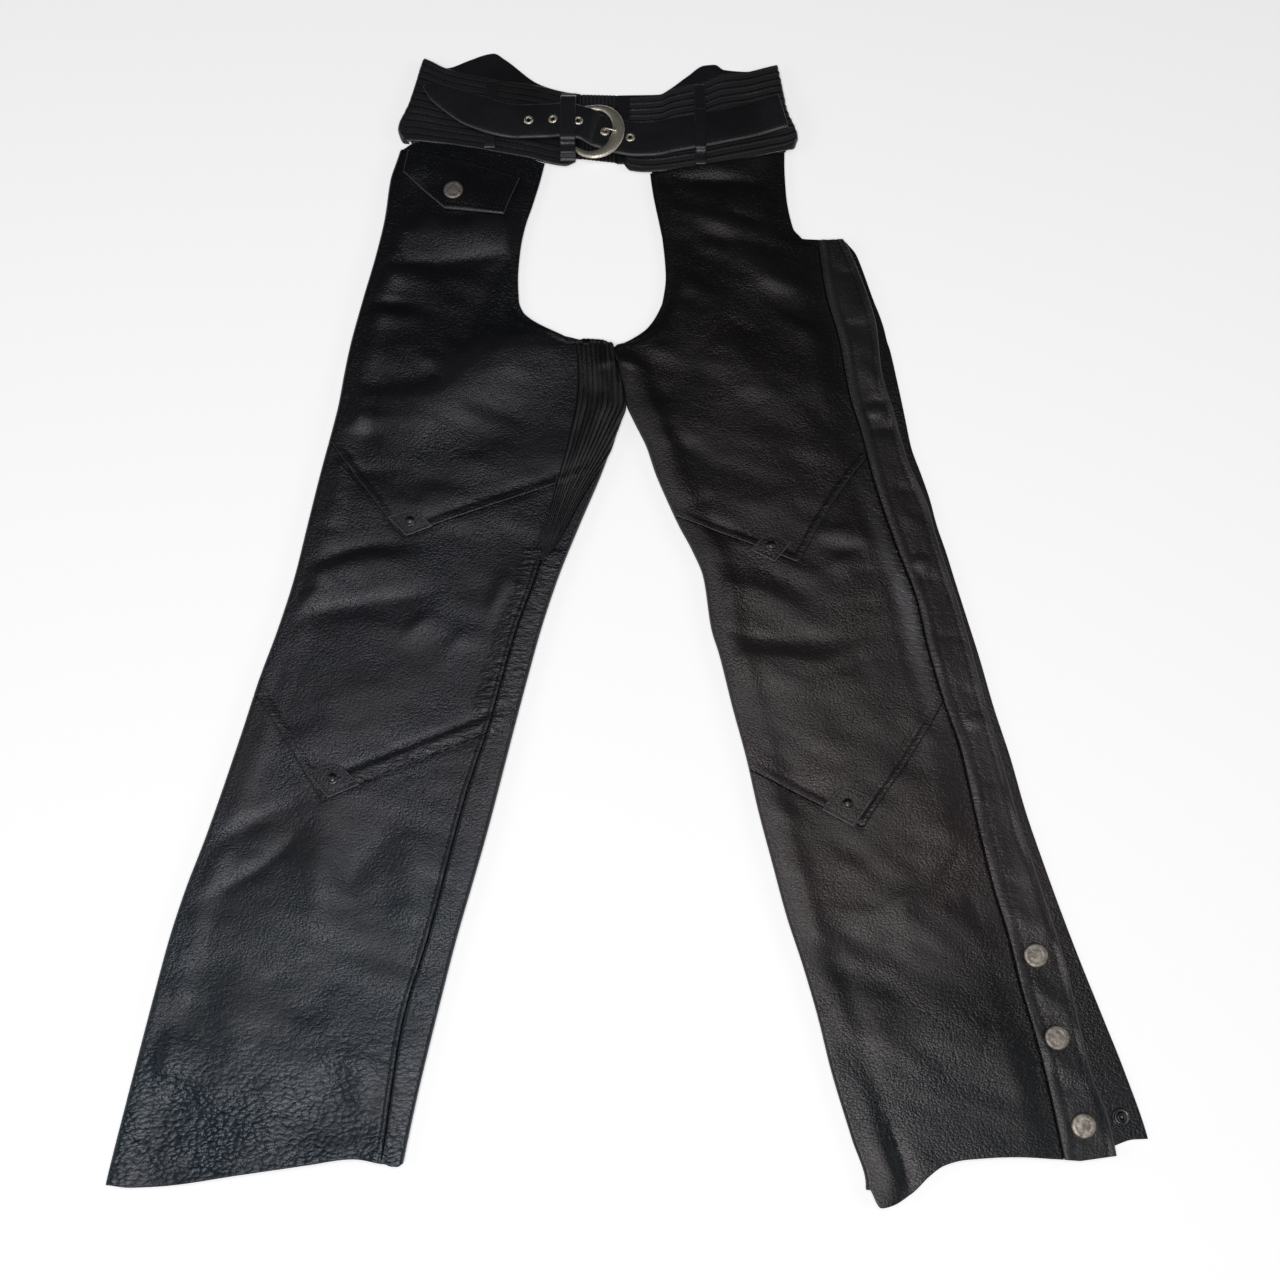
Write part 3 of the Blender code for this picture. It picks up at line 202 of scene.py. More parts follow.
right_outer, right_inner = map(smooth_line, columns("""up outer inner,
    0 -427.5 -190, 18 -425 -187, 87 -413 -174.5, 170 -397.8 -156.5, 213 -389.5 -146.6,
    256 -378.6 -135.3, 300 -364.9 -123.8, 391 -340.3 -102.5, 438 -328.5 -91.3,
    486 -314.3 -79.3, 534 -302.5 -64.7, 584 -293.6 -46, 634 -284.6 -26.3, 685 -274.5 -9.4,
    701 -271.7 -4.5, 734 -267.7 -10.9, 760 -264 -16, 808 -254.4 nan, 858 -243.5 nan,
    897 -237 nan, 936 -233.6 nan, 960 -227.6 -16"""))
right_front_end = line_from("""up end, 25 -203, 46 -200, 143 -189, 218 -169,
    335 -142, 402 -122, 435 -114, 482 -102, 546 -82, 578 -77, 612 -70, 661 -58, 727 -48.5,
    762 -51, 770 -59, 776 -70, 783 -84, 790 -95, 797 -102, 808 -106, 834 -107.4, 859 -106,
    885 -102, 910 -95, 937 -88, 956 -84""")
gusset_right_edge = line_from("""up edge, 546 -23.6, 560 -16, 573 -13.4,
    598 -11.2, 623 -7.6, 645 -2.2, 668 3, 701 9, 734 14, 768 17""")
left_edges = columns("""up outer inner,
    0 433 189, 18 430 191.6, 53 424.8 181.5, 107 409.7 166.2, 149 395.7 156.8,
    191 381.5 145.5, 234 367.8 132.3, 278 354.8 121.4, 323 342.4 110.4, 369 332.4 100.9,
    415 320.4 89.4, 462 310 78.6, 486 304 71.8, 534 292 65.2, 559 285.9 55.6, 584 279 43.1,
    609 273.9 32.3, 634 267 22.3, 660 259.3 14.1, 685 255.5 2.6, 701 253.2 -4.2,
    734 248 -10.6, 760 243.5 -15.7, 767 241.5 -2, 780 239.2 15.5, 796 235 25.5, 808 231 30,
    834 223.5 33, 849 219 32.3, 859 215.4 31.5, 868 209 30.6, 872.5 204.6 30.1,
    875 163.5 29.8, 885 156 28, 923 150 21, 952 149.2 17.4, 966 149.6 15.5""")
left_outer, left_inner = map(smooth_line, left_edges)
left_hip_edge = smooth_line([point for point in left_edges[0] if point[0] > 873])
placket_seam = line_from("""up seam, 37 354, 95 345, 135 337, 173 328,
    215 320, 260 309, 319 298, 377 288, 419 276, 470 264, 511 257, 565 240, 631 222,
    672 214, 711 204, 769 196, 817 185, 868 179.5""")
placket_edge = line_from("""up edge, 40 397, 70 393, 103 382, 142 375,
    182 369, 218 361, 260 350, 308 337, 358 326, 402 316, 457 305, 512 293, 569 278,
    602 271, 646 255, 691 245, 736 234.6, 780 232, 808 226, 848 214, 868 206, 873 203""")


def left_front_outer(up):
    """The left front ends at the placket seam and, above the placket, at the hip's edge."""
    beside = mix(placket_seam(868), left_hip_edge(874), np.clip((up - 868) / 6, 0, 1))
    return np.where(up <= 868, placket_seam(up), np.where(up >= 874, left_hip_edge(up), beside))


def right_back_end(up):
    """Where the right back ends along its wall: at the inseam, then at the gusset."""
    at_inseam = right_front_end(up) - right_inner(up) + ROLL - QUARTER
    return np.where(up > GUSSET_FOOT, gusset_right_edge(up), at_inseam)


print("hem widths", right_inner(30) - right_outer(30), left_outer(30) - left_inner(30))

# %% [markdown]
# Three panels make each front, joined at two seams cut as a V. The hems and the seam under
# the waist yoke close the panels at both ends; they are given against the share of the width.

# %% Seams between the panels
HEMS = {
    "right": line_from("share up, 0 17.6, .08 15.6, .16 16.1, .48 25.3, .73 33, .89 37.5, 1 34"),
    "left": line_from("share up, 0 37, .24 39, .485 37, .6 33, .7 24, .8 10, .88 2, .935 0, 1 14"),
    "right back": line_from("""share up, 0 20, .08 18, .16 18.6, .48 27.8, .73 35.5, .89 38.6,
                            .935 34.6, .965 32.6, 1 33.6"""),
    "right strip": line_from("share up, .92 34, .935 33.9, .965 31.8, .985 31.6, 1 33.6"),
    "left back": line_from("""share up, 0 53, .05 52.5, .13 47, .2 42.5, .28 38.6, .33 37.2,
                           .5 40.4, .72 34.2, .86 12.6, .94 3.5, 1 14"""),
}
YOKE_SEAMS = {
    "right": line_from("""share up, 0 969.5, .06 976.4, .2 977.6, .45 973.2, .66 967.4,
                       .88 961.1, 1 956.2"""),
    "left": line_from("share up, 0 967.6, .12 964, .35 959.4, .65 951.7, .9 947.3, 1 945.2"),
}
Vee = namedtuple("Vee", "outer_up tip_share tip_up inner_up turned rise")
VEES = {("right", "upper"): Vee(662, 0.395, 572, 623, 3.4, 0.7),
        ("right", "lower"): Vee(424, 0.40, 333, 391, 13.0, 0.9),
        ("left", "upper"): Vee(651, 0.52, 547, 590, 3.4, 0.7),
        ("left", "lower"): Vee(420, 0.545, 308, 357, 3.8, 1.0)}


def vee_line(vee):
    return straight_line([(0, vee.outer_up), (vee.tip_share, vee.tip_up), (1, vee.inner_up)])


def front_ends(side, up):
    """Where the flat part of a front starts, at its outer side, and ends."""
    if side == "right":
        return right_outer(up) + ROLL, right_front_end(up) - SEAM / 2
    return left_front_outer(up) - SEAM / 2, left_inner(up) + ROLL


def over_seam(side, which, across, up):
    """How far a point lies over one of the V seams, and 1 on the outer arm or 0 on the inner."""
    vee = VEES[side, which]
    start, end = front_ends(side, up)
    share = (across - start) / (end - start)
    return up - vee_line(vee)(share), (share < vee.tip_share).astype(float)


print("V tips at", [vee.tip_up for vee in VEES.values()], "mm up")

# %% [markdown]
# Worn leather keeps the folds of the leg that bent it. Each fold here is a line in the plan
# with a height and a half width: ridges stand up, troughs sink in. They could come from a
# cloth simulation, but thick leather creases in its own known places, so they are placed one
# by one, uneven as on the real thing. A row holds the height, the half width, how gently the
# hem side slopes, and then the line's points as across and up.

# %% The creases
Crease = namedtuple("Crease", "height half_width gentle path")


def creases_from(text):
    return [Crease(*row[:3], list(zip(row[3::2], row[4::2]))) for row in rows(text)]


CREASES = {"right": creases_from("""height half_width gentle path,
    4.8 11 2.2 -232 858 -212 873 -190 880 -160 880 -134 883 -98 882,
    2 8 1.5 -252 826 -222 829 -188 829, 1.8 8 1.5 -258 790 -228 787 -196 783,
    7 15 3 -246 698 -205 696 -171 703 -148 728 -120 744 -90 748 -50 750,
    1.2 12 1.5 -264 680 -222 676 -180 672, 1.2 8 1.5 -285 633 -268 635 -246 639,
    1.2 8 1.5 -294 562 -275 567 -252 568, 2.4 9 1.5 -294 526 -260 540 -235 547 -198 544,
    1.4 7 1.5 -298 505 -285 513 -268 518, 1.7 8 1.5 -202 474 -187 487 -174 501,
    1.3 7 1.5 -166 460 -155 470 -144 480, 1.4 7 1.5 -126 496 -118 515 -108 536,
    2.2 24 1.5 -280 400 -236 410 -190 426, 2 17 1.5 -306 366 -275 374 -246 383,
    2.4 18 1.5 -266 224 -264 268 -260 318, 2.4 18 1.5 -182 220 -185 266 -180 308,
    1.8 13 1.5 -392 236 -370 260 -346 277, 3 30 1.5 -318 88 -256 108 -202 124,
    2 22 1.5 -360 60 -330 110 -318 170, 1.4 18 1.5 -340 205 -300 190 -250 176,
    1.3 14 1.5 -206 60 -222 96 -214 140, 1.2 15 1.5 -250 740 -214 748 -178 752,
    1.2 12 1.5 -170 640 -146 636 -118 642, 1.3 13 1.5 -200 600 -170 604 -140 596,
    -2.2 8 1.5 -205 884 -170 889 -140 891 -108 892,
    -2.4 9 1.5 -240 842 -190 842 -144 848 -110 852, -1.4 5 1.5 -254 804 -228 803 -200 801,
    -1.8 14 1.5 -116 850 -130 826 -147 788 -162 746, -2 8 1.5 -268 668 -248 667 -224 664,
    -1.4 7 1.5 -264 632 -240 632 -213 630, -2.2 7 1.5 -294 536 -260 553 -225 560 -202 560,
    -3.4 8 1.5 -304 480 -285 495 -250 502 -210 508 -183 512,
    -2.2 11 1.5 -322 406 -311 440 -300 472, -3 7 1.5 -364 286 -345 300 -310 315 -292 323,
    -2.6 7 1.5 -358 246 -320 268 -295 290 -284 304, -1.8 14 1.5 -248 246 -225 275 -203 303,
    -2.2 8 1.5 -391 210 -395 110 -402 18, -.9 4 1.5 -117 398 -110 384 -104 370,
    -1.4 10 1.5 -186 720 -150 738 -110 752"""), "left": creases_from("""height half gentle path,
    2.6 8 1.5 34 941 65 945 95 949 125 954 150 961, 2.4 7 1.5 43 901 70 893 98 884 132 871,
    2.8 10 1.5 96 858 127 834 158 810, 1.4 10 1.5 42 837 60 820 78 803,
    1.8 9 1.5 128 794 150 780 174 767, 3.4 12 2.2 72 768 92 752 110 736 132 703,
    1.5 10 1.5 -6 752 8 725 24 690 38 650, 1.2 9 1.5 60 696 60 716 59 738,
    1.5 11 1.5 106 595 128 600 150 607, 1.4 7 1.5 168 571 185 573 203 575,
    1.4 7 1.5 180 544 196 546 211 548, 3 10 1.8 78 520 110 516 135 503 158 488,
    3.6 9 3.8 83 448 110 455 140 451 170 448 203 461, 2.2 17 1.5 118 366 135 405 152 440,
    1.9 9 1.5 156 236 200 229 230 240 260 255 288 287, 2 19 1.5 118 335 138 285 162 232,
    1.4 8 1.5 317 204 322 185 328 165, 1.6 16 1.5 196 400 226 392 256 384,
    1.8 20 1.5 216 120 262 132 300 122, 1.8 18 1.5 186 175 206 140 216 96,
    .7 15 1.5 60 660 100 652 140 660, 1.2 12 1.5 150 700 168 672 176 640,
    -2.4 6 1.5 38 936 70 932 100 932 120 929 142 919, -1.4 5 1.5 88 901 108 894 128 887,
    -2 9 1.5 76 869 112 864 148 857, -1.2 10 1.5 56 850 76 850 96 847,
    -1.6 11 1.5 76 782 100 776 124 766, -1.8 8 1.5 38 589 57 598 78 607,
    -1.5 9 1.5 83 541 120 535 145 521 163 503, -3.6 9 1.5 76 483 100 473 150 469 195 470,
    -1.4 6 1.5 163 438 190 447 218 456, -1.2 5 1.5 176 560 197 560 220 561,
    -1.2 5 1.5 196 537 210 537 225 537, -1.2 5 1.5 196 505 212 505 230 505,
    -2.6 7 1.5 256 254 270 265 288 292, -2 7 1.5 289 254 294 235 299 217,
    -1.2 10 1.5 232 231 250 234 268 239, -2.2 7 1.5 214 62 222 35 229 8"""),
    "placket": creases_from("""height half_width gentle path,
    -1.3 4 1.5 214 700 228 704 240 700, -1.2 4 1.5 219 674 235 677 250 674,
    -1.2 5 1.5 250 528 264 531 280 527, -1.2 6 1.5 198 782 212 779 228 782,
    -.9 4 1.5 240 620 252 616 262 618, -.9 4 1.5 270 480 284 476 296 478,
    -.9 5 1.5 290 430 300 424 311 426, .9 7 1.5 214 745 222 733 232 720,
    1 8 1.5 336 175 350 162 366 150, .9 8 1.5 346 120 356 106 372 98,
    -.9 6 1.5 350 100 364 90 380 92, -.8 5 1.5 196 840 204 834 216 836,
    .8 6 1.5 246 592 256 584 268 580, -.8 5 1.5 300 350 312 344 322 346,
    -.8 5 1.5 318 262 332 256 344 258, .8 7 1.5 322 236 334 226 346 222""")}
STEEP = 0.85                   # share of the half width on a fold's waist side


def rounded_path(path, count=14):
    """A rounded line through the points of a short path."""
    points = np.array(path, float)
    walked = np.concatenate([[0], np.cumsum(np.linalg.norm(np.diff(points, axis=0), axis=1))])
    where = np.linspace(0, walked[-1], count)
    return np.stack([smooth_line(list(zip(walked, points[:, k])))(where) for k in (0, 1)], axis=1)


def crease_height(creases, across, up):
    """The height of all creases: soft to the sides, dying out towards both ends.

    A fold hangs over towards the hem when the leg is laid down, so its waist side is steep.
    """
    across, up = np.broadcast_arrays(np.asarray(across, float), np.asarray(up, float))
    total = np.zeros(across.shape)
    for crease in creases:
        line = rounded_path(crease.path)
        chord = line[-1] - line[0]
        level = abs(chord[0]) / np.hypot(*chord)
        line[:, 1] += 0.6 * crease.half_width * level
        reach = 2.4 * crease.gentle * crease.half_width
        (west, south), (east, north) = line.min(axis=0) - reach, line.max(axis=0) + reach
        near = (across > west) & (across < east) & (up > south) & (up < north)
        if not near.any():
            continue
        spots = np.stack([across[near], up[near]], axis=1)
        nearest = np.full(len(spots), 1e9)
        along, hem_side = np.zeros(len(spots)), np.zeros(len(spots))
        for k, (start, end) in enumerate(zip(line[:-1], line[1:])):
            run = end - start
            t = np.clip(((spots - start) @ run) / (run @ run), 0, 1)
            away = np.linalg.norm(spots - start - t[:, None] * run, axis=1)
            closer = away < nearest
            nearest = np.where(closer, away, nearest)
            along = np.where(closer, (k + t) / (len(line) - 1), along)
            below = (spots[:, 1] - start[1] - t * run[1]) / np.maximum(away, 1e-6)
            hem_side = np.where(closer, np.clip(0.5 - 0.5 * below, 0, 1), hem_side)
        spread = mix(1.0, mix(STEEP, crease.gentle, hem_side), level)
        sharpness = 2.0 if crease.height > 0 else 1.5
        side = np.exp(-(nearest / (crease.half_width * spread * (0.85 + 0.3 * along))) ** sharpness)
        total[near] += crease.height * side * np.sin(pi * np.clip(along, 0.04, 0.96)) ** 0.6
    return total


print("creases:", {name: len(table) for name, table in CREASES.items()})

# %% [markdown]
# Between the big creases leather is never quite flat. A smooth noise on a fixed lattice adds
# shallow waves, and a band beside each sewn seam puckers where the thread draws it in.

# %% Waves and puckers


def soft_noise(across, up, cell_across, cell_up, seed):
    """Smooth noise from -1 to 1, the same in each run."""
    lattice = np.random.default_rng(seed).uniform(-1, 1, (96, 96))
    x, y = np.asarray(across) / cell_across + 40.0, np.asarray(up) / cell_up + 7.0
    i, j = np.floor(x).astype(int), np.floor(y).astype(int)
    low, high = (mix(lattice[i % 96, (j + k) % 96], lattice[(i + 1) % 96, (j + k) % 96],
                     1 - ease(x - i)) for k in (0, 1))
    return mix(low, high, 1 - ease(y - j))


def waves(across, up, seed):
    """Shallow waves of three sizes, the smaller ones running mostly across the leg."""
    lower = mix(1.0, 1.8, ease((up - 120) / 360))
    return lower * (1.3 * soft_noise(across + 0.4 * up, up, 56, 38, seed)
                    + 0.5 * soft_noise(across, up + 0.3 * across, 27, 15, seed + 1)
                    + 0.10 * soft_noise(across, up - 0.2 * across, 13, 8, seed + 2))


def band(distance, width):
    """1 within the width of a seam, on the positive side, easing out at its end."""
    return (distance > -0.5) * ease((distance - width * 0.55) / (width * 0.6))


def pucker_share(side, across, up):
    """How much the leather puckers: beside the inseam, the V seams and the placket."""
    if side == "right":
        beside = right_front_end(up) - across
        share = band(beside, 19) * ease((465 - up) / 90 - 0.5) * (up < 560)
        strip = mix(0.25, 1.0, ease((440 - up) / 70)) * (beside < 0) * (up < 560)
        share = np.maximum(share, strip * (1 - ease((up - 60) / 30)))
        heights, width, arms = {"upper": 0.4, "lower": 1.0}, 15.0, (1.0, 0.5)
    else:
        share = 1.1 * band(placket_seam(up) - across, 22) * bump_at(up - 500, 120)
        heights, width, arms = {"upper": 0.6, "lower": 0.6}, 9.0, (0.35, 1.0)
    for which, height in heights.items():
        over, outer_arm = over_seam(side, which, across, up)
        share = np.maximum(share, height * mix(*arms, outer_arm) * band(over, width))
    return share


def pucker_height(side, across, up):
    wander = 3.4 * soft_noise(across, up, 14, 19, 5)
    ripple = np.sin(2 * pi * (up + 0.25 * across) / 9.5 + wander)
    ripple = ripple * (0.6 + 0.5 * soft_noise(across, up, 17, 12, 6))
    return 0.3 * pucker_share(side, across, up) * ripple


print("wave at the right knee", round(float(waves(-220, 480, 11)), 2), "mm")

# %% [markdown]
# On these V seams the upper panel is turned under and sewn down over the lower one, so the
# seam shows as a small step, with a second line of stitching where the turned part ends. The
# inseam is felled: two grooves a few millimetres apart, with a low ridge between them.

# %% Turned seams


def seam_arms(side, across, up):
    """Both V seams: how far a point lies over each, its arm, and the turned strip's width."""
    for which in ("upper", "lower"):
        over, outer_arm = over_seam(side, which, across, up)
        turned = VEES[side, which].turned
        yield which, over, outer_arm, turned * mix(1.0, 0.5, outer_arm * (turned > 5))


def turned_edge(side, across, up):
    """The raised, turned strip over each V seam, and the groove of its second stitch line."""
    total, right = np.zeros(np.broadcast(across, up).shape), side == "right"
    for which, over, outer_arm, width in seam_arms(side, across, up):
        faint = mix(1.0, 0.6, outer_arm * right)
        total += VEES[side, which].rise * faint * (over > 0) * ease((over - width) / 5.0)
        total -= (0.3 if right else 0.14) * faint * bump_at(over - width - 0.6, 1.1)
        total -= 0.4 * bump_at(over + 1.6, 2.6) * (over <= 0)
        sunk = 0.65 * mix(1.0, 0.8, outer_arm) if right else 0.22
        total -= sunk * bump_at(over - width - 6.5, 4.5)
    return total


def felled_inseam(across, up):
    """The grooves and the ridge of the right inseam, from the hem to the gusset."""
    beside = right_front_end(up) - across
    shape = (0.45 * bump_at(beside - 2.6, 1.7) - 0.6 * bump_at(beside, 0.9)
             - 0.4 * bump_at(beside - 5.2, 0.9) + 0.3 * bump_at(beside + 2.4, 1.8))
    return shape * ease((up - 543) / 6) * (1 - ease((up - 38) / 16))


def seam_shadow_share(side, across, up):
    """1 where the shadow of a seam is painted: under the turned edges, at the inseam and at the
    placket.
    """
    share, right = np.zeros(np.broadcast(across, up).shape), side == "right"
    for which, over, outer_arm, width in seam_arms(side, across, up):
        depth = {"upper": 0.6, "lower": 1.0}[which] * mix(1.0, 0.6, outer_arm * right)
        second = (0.55 if right else 0.22) * depth * bump_at(over - width - 0.7, 0.9)
        share = np.maximum.reduce([share, depth * bump_at(over + 0.9, 1.5), second])
    if right:
        beside = right_front_end(up) - across
        lines = np.maximum(bump_at(beside - 0.3, 1.3), 0.8 * bump_at(beside - 5.2, 1.0))
        return np.maximum(share, lines * ease((up - 545) / 5))
    beside, wide = placket_seam(up) - across, mix(2.2, 7.0, ease((up - 60) / 110))
    tight = mix(0.4, 1.0, ease((up - 560) / 130))
    return np.maximum(share, tight * (up < 870) * ease((beside - 0.4) / wide))


def highlight_and_wear_share(side, across, up):
    """Painted highlights on a front: along its inner edge, beside the placket, over the lower V
    seam and on the knee, and on the high crease ridges, where they are partly polish.
    """
    over, outer_arm = over_seam(side, "lower", across, up)
    uneven = 0.75 + 0.5 * soft_noise(across, up, 16, 26, 9)
    high_folds = [fold for fold in CREASES[side] if fold.height > 1.9]
    # Lighter crease ridges: partly polish, partly painted highlight.
    polish_and_highlight = 0.15 * np.clip(crease_height(high_folds, across, up - 3) / 4.5, 0, 1)
    if side == "right":
        # Painted highlight on the turned strip over the lower V seam.
        strip = 0.32 * bump_at(over - 8, 5) * (1 - outer_arm) * (over > 1)
        return uneven * np.maximum(strip, polish_and_highlight)
    inside = across - left_inner(up)
    # Painted highlights along the inner edge, beside the placket seam, over the lower V seam and on
    # the knee.
    edge = 0.5 * bump_at(inside - 8, 7) * ease((up - 720) / 30)
    drawn = 2.3 * bump_at(placket_seam(up) - across - 11, 7) * bump_at(up - 490, 80)
    ridge = mix(0.8, 0.3, ease((inside - 10) / -60 + 1)) * bump_at(over - 4, 3)
    knee = 0.34 * bump_at(np.hypot((across - 122) / 22, (up - 400) / 42), 1.0)
    return uneven * np.maximum.reduce([edge, drawn, ridge * (1 - outer_arm) * (over > 1), knee,
                                       polish_and_highlight])


print("turned strips:", {key: vee.turned for key, vee in VEES.items()})

# %% [markdown]
# All this adds up to one height for the outer face of a front: the flat lie on the back
# panel, the lift towards a rolled edge, a little air under the leather, then creases and
# waves. Towards open edges it settles onto the layer below.

# %% Height of the fronts
AIR = 2.6                      # how far the leather stands over the layer below, on average


def closed_share(up):
    """1 where a leg is a closed tube, 0 beside the seat opening."""
    return ease((up - 734) / 28)


def roll_lift(inside):
    """How much of a rolled edge's lift is left so far inside of it."""
    return ease((inside - ROLL) / ROLL_SPREAD)


def front_height(side, across, up, seams=True):
    across, up = np.asarray(across, float), np.asarray(up, float)
    folds = crease_height(CREASES[side], across, up)
    if side == "right":
        from_outer, from_inner = across - right_outer(up), right_inner(up) - across
        rise, from_placket, opening = roll_lift(from_outer), 60.0, right_front_end(up) - across
        creases = folds + waves(across, up, 11)
    else:
        from_outer, from_inner = 40.0, across - left_inner(up)
        rise, from_placket, opening = 0.0, left_front_outer(up) - across, from_inner
        creases = (mix(0.7, 1.0, ease((up - 120) / 220)) * folds
                   + mix(1.0, 0.5, ease((up - 60) / 240)) * waves(across, up, 23))
    lift = 2 * ROLL - FRONT_LIE
    rise = np.maximum(lift * rise, lift * roll_lift(from_inner) * closed_share(up))
    edge = np.minimum(from_outer, from_inner + 60 * (1 - closed_share(up)))
    fade = 1 - ease((edge - ROLL) / 22)
    settle_down = ((1 - ease(np.where(up > 764, opening, 60.0) / 18))
                   * (1 - ease(from_placket / 30)))
    body = fade * (AIR * settle_down + creases * mix(0.35, 1.0, settle_down))
    if seams:
        body = body + fade * (turned_edge(side, across, up) + pucker_height(side, across, up))
        body = body + (felled_inseam(across, up) if side == "right" else 0)
    above_floor = 0.5 * (body + np.sqrt(body ** 2 + 0.5)) - 0.354
    return FRONT_LIE + rise + above_floor


def roll_points(edge, inward, up, along, on_top=None):
    """Points along the wall from a roll's middle: negative lengths run onto the leg's top."""
    turn = np.clip(along / ROLL, -pi / 2, pi / 2)
    beyond = np.maximum(np.abs(along) - QUARTER, 0)
    across = edge + inward * (ROLL - ROLL * np.cos(turn) + beyond)
    z = ROLL - ROLL * np.sin(turn)
    if on_top:
        z = np.where(along < -QUARTER, front_height(on_top, across, up), z)
    return spots_at(across, up, z)


print("mid thigh height", round(float(front_height("right", -180, 800)), 2), "mm")

# %% [markdown]
# A cut piece of leather is a wall of one thickness with softly rounded edges. The shell
# maker takes a grid of points on the outer face and lays a second skin behind it. The
# Solidify modifier would do this as well, but here the edge rings can be rounded and the
# points can carry marks, for painted highlights, painted shade and puckers, that the finish
# reads later.

# %% Shell maker
shells = {}


def facing(grid):
    """The outward facing of a grid of points at each of them."""
    normal = np.cross(np.gradient(grid, axis=1), np.gradient(grid, axis=0))
    return normal / np.maximum(np.linalg.norm(normal, axis=-1, keepdims=True), 1e-9)


def mesh_object(name, points, faces=(), look=None, marks=None, edges=()):
    """An object from points in metres, with a number on each point for each mark."""
    mesh = bpy.data.meshes.new(name)
    mesh.from_pydata(np.asarray(points, float).tolist(), edges,
                     np.asarray(faces, object).tolist())
    if look:
        mesh.materials.append(look)
        mesh.shade_smooth()
    for mark, values in (marks or {}).items():
        mesh.attributes.new(mark, "FLOAT", "POINT").data.foreach_set(
            "value", np.asarray(values, np.float32))
    return add_object(name, mesh)


def shell(name, grid, wall, look, rounding=0.33, edge_wear_and_highlight=1.0, **marks):
    """A wall of leather: columns run to larger `across` where the grid faces up.

    `edge_wear_and_highlight` says how much its rims are lightened, partly as edge wear and partly
    as painted highlight; other marks lie on the outer face alone.
    """
    normal, (high, wide) = facing(grid), grid.shape[:2]
    ring = np.zeros((high, wide))
    ring[1:-1, 1] = ring[1:-1, -2] = ring[1, 1:-1] = ring[-2, 1:-1] = 0.25
    ring[0, :] = ring[-1, :] = ring[:, 0] = ring[:, -1] = 1.0
    drop = (ring * wall * rounding)[..., None] * normal
    outer, inner = grid - drop, grid - normal * wall + drop
    index = np.arange(high * wide).reshape(high, wide)
    quads = np.stack([index[:-1, :-1], index[:-1, 1:], index[1:, 1:], index[1:, :-1]], -1)
    quads = quads.reshape(-1, 4)
    rim = np.concatenate([index[0, :], index[1:, -1], index[-1, -2::-1], index[-2:0:-1, 0]])
    onward, below = np.roll(rim, -1), high * wide
    sides = np.stack([onward, rim, rim + below, onward + below], -1)
    # Each piece's outer ring is lightened, partly as edge wear and partly as painted highlight.
    marks["rim"] = np.maximum(ring * edge_wear_and_highlight, marks.get("rim", 0))
    both = {mark: np.concatenate([np.broadcast_to(values, (high, wide)).ravel(),
                                  (ring * edge_wear_and_highlight * (mark == "rim")).ravel()])
            for mark, values in marks.items()}
    shells[name] = mesh_object(name, in_metres(np.concatenate([outer, inner]).reshape(-1, 3)),
                               np.concatenate([quads, quads[:, ::-1] + below, sides]), look, both)
    print(name, grid.shape[:2])
    return shells[name]


EDGE_STEPS = [0.0, 0.45, 1.1, 2.0]


def edged(low, high, pitch, low_edge=True, high_edge=True):
    """Steps between two values, with fine steps beside the edges that are rounded."""
    low_steps = [low + s for s in EDGE_STEPS] if low_edge else [low]
    high_steps = [high - s for s in reversed(EDGE_STEPS)] if high_edge else [high]
    return np.concatenate([low_steps[:-1], steps_between(low_steps[-1], high_steps[0], pitch),
                           high_steps[1:]])


def edged_shares(length, pitch, *edges):
    """The same steps along a length, as shares of it."""
    return edged(0, length, pitch, *edges) / length


print("edge steps", EDGE_STEPS)

# %% [markdown]
# ## Finishes
# Milled cowhide has a soft pebbled grain: irregular cells a few millimetres wide with fine
# creases between them. A Voronoi texture bent by noise gives the cells, a second noise the
# pores. The marks on the points add edge wear and painted highlights on rims and crests,
# painted shade in seams and grooves, and the puckers. Everything sits on Object coordinates,
# so the grain keeps its real size on every piece. All trees are built by one helper: an input
# that gets a number is set, and one that gets another node's output is linked to it.

# %% Node helpers


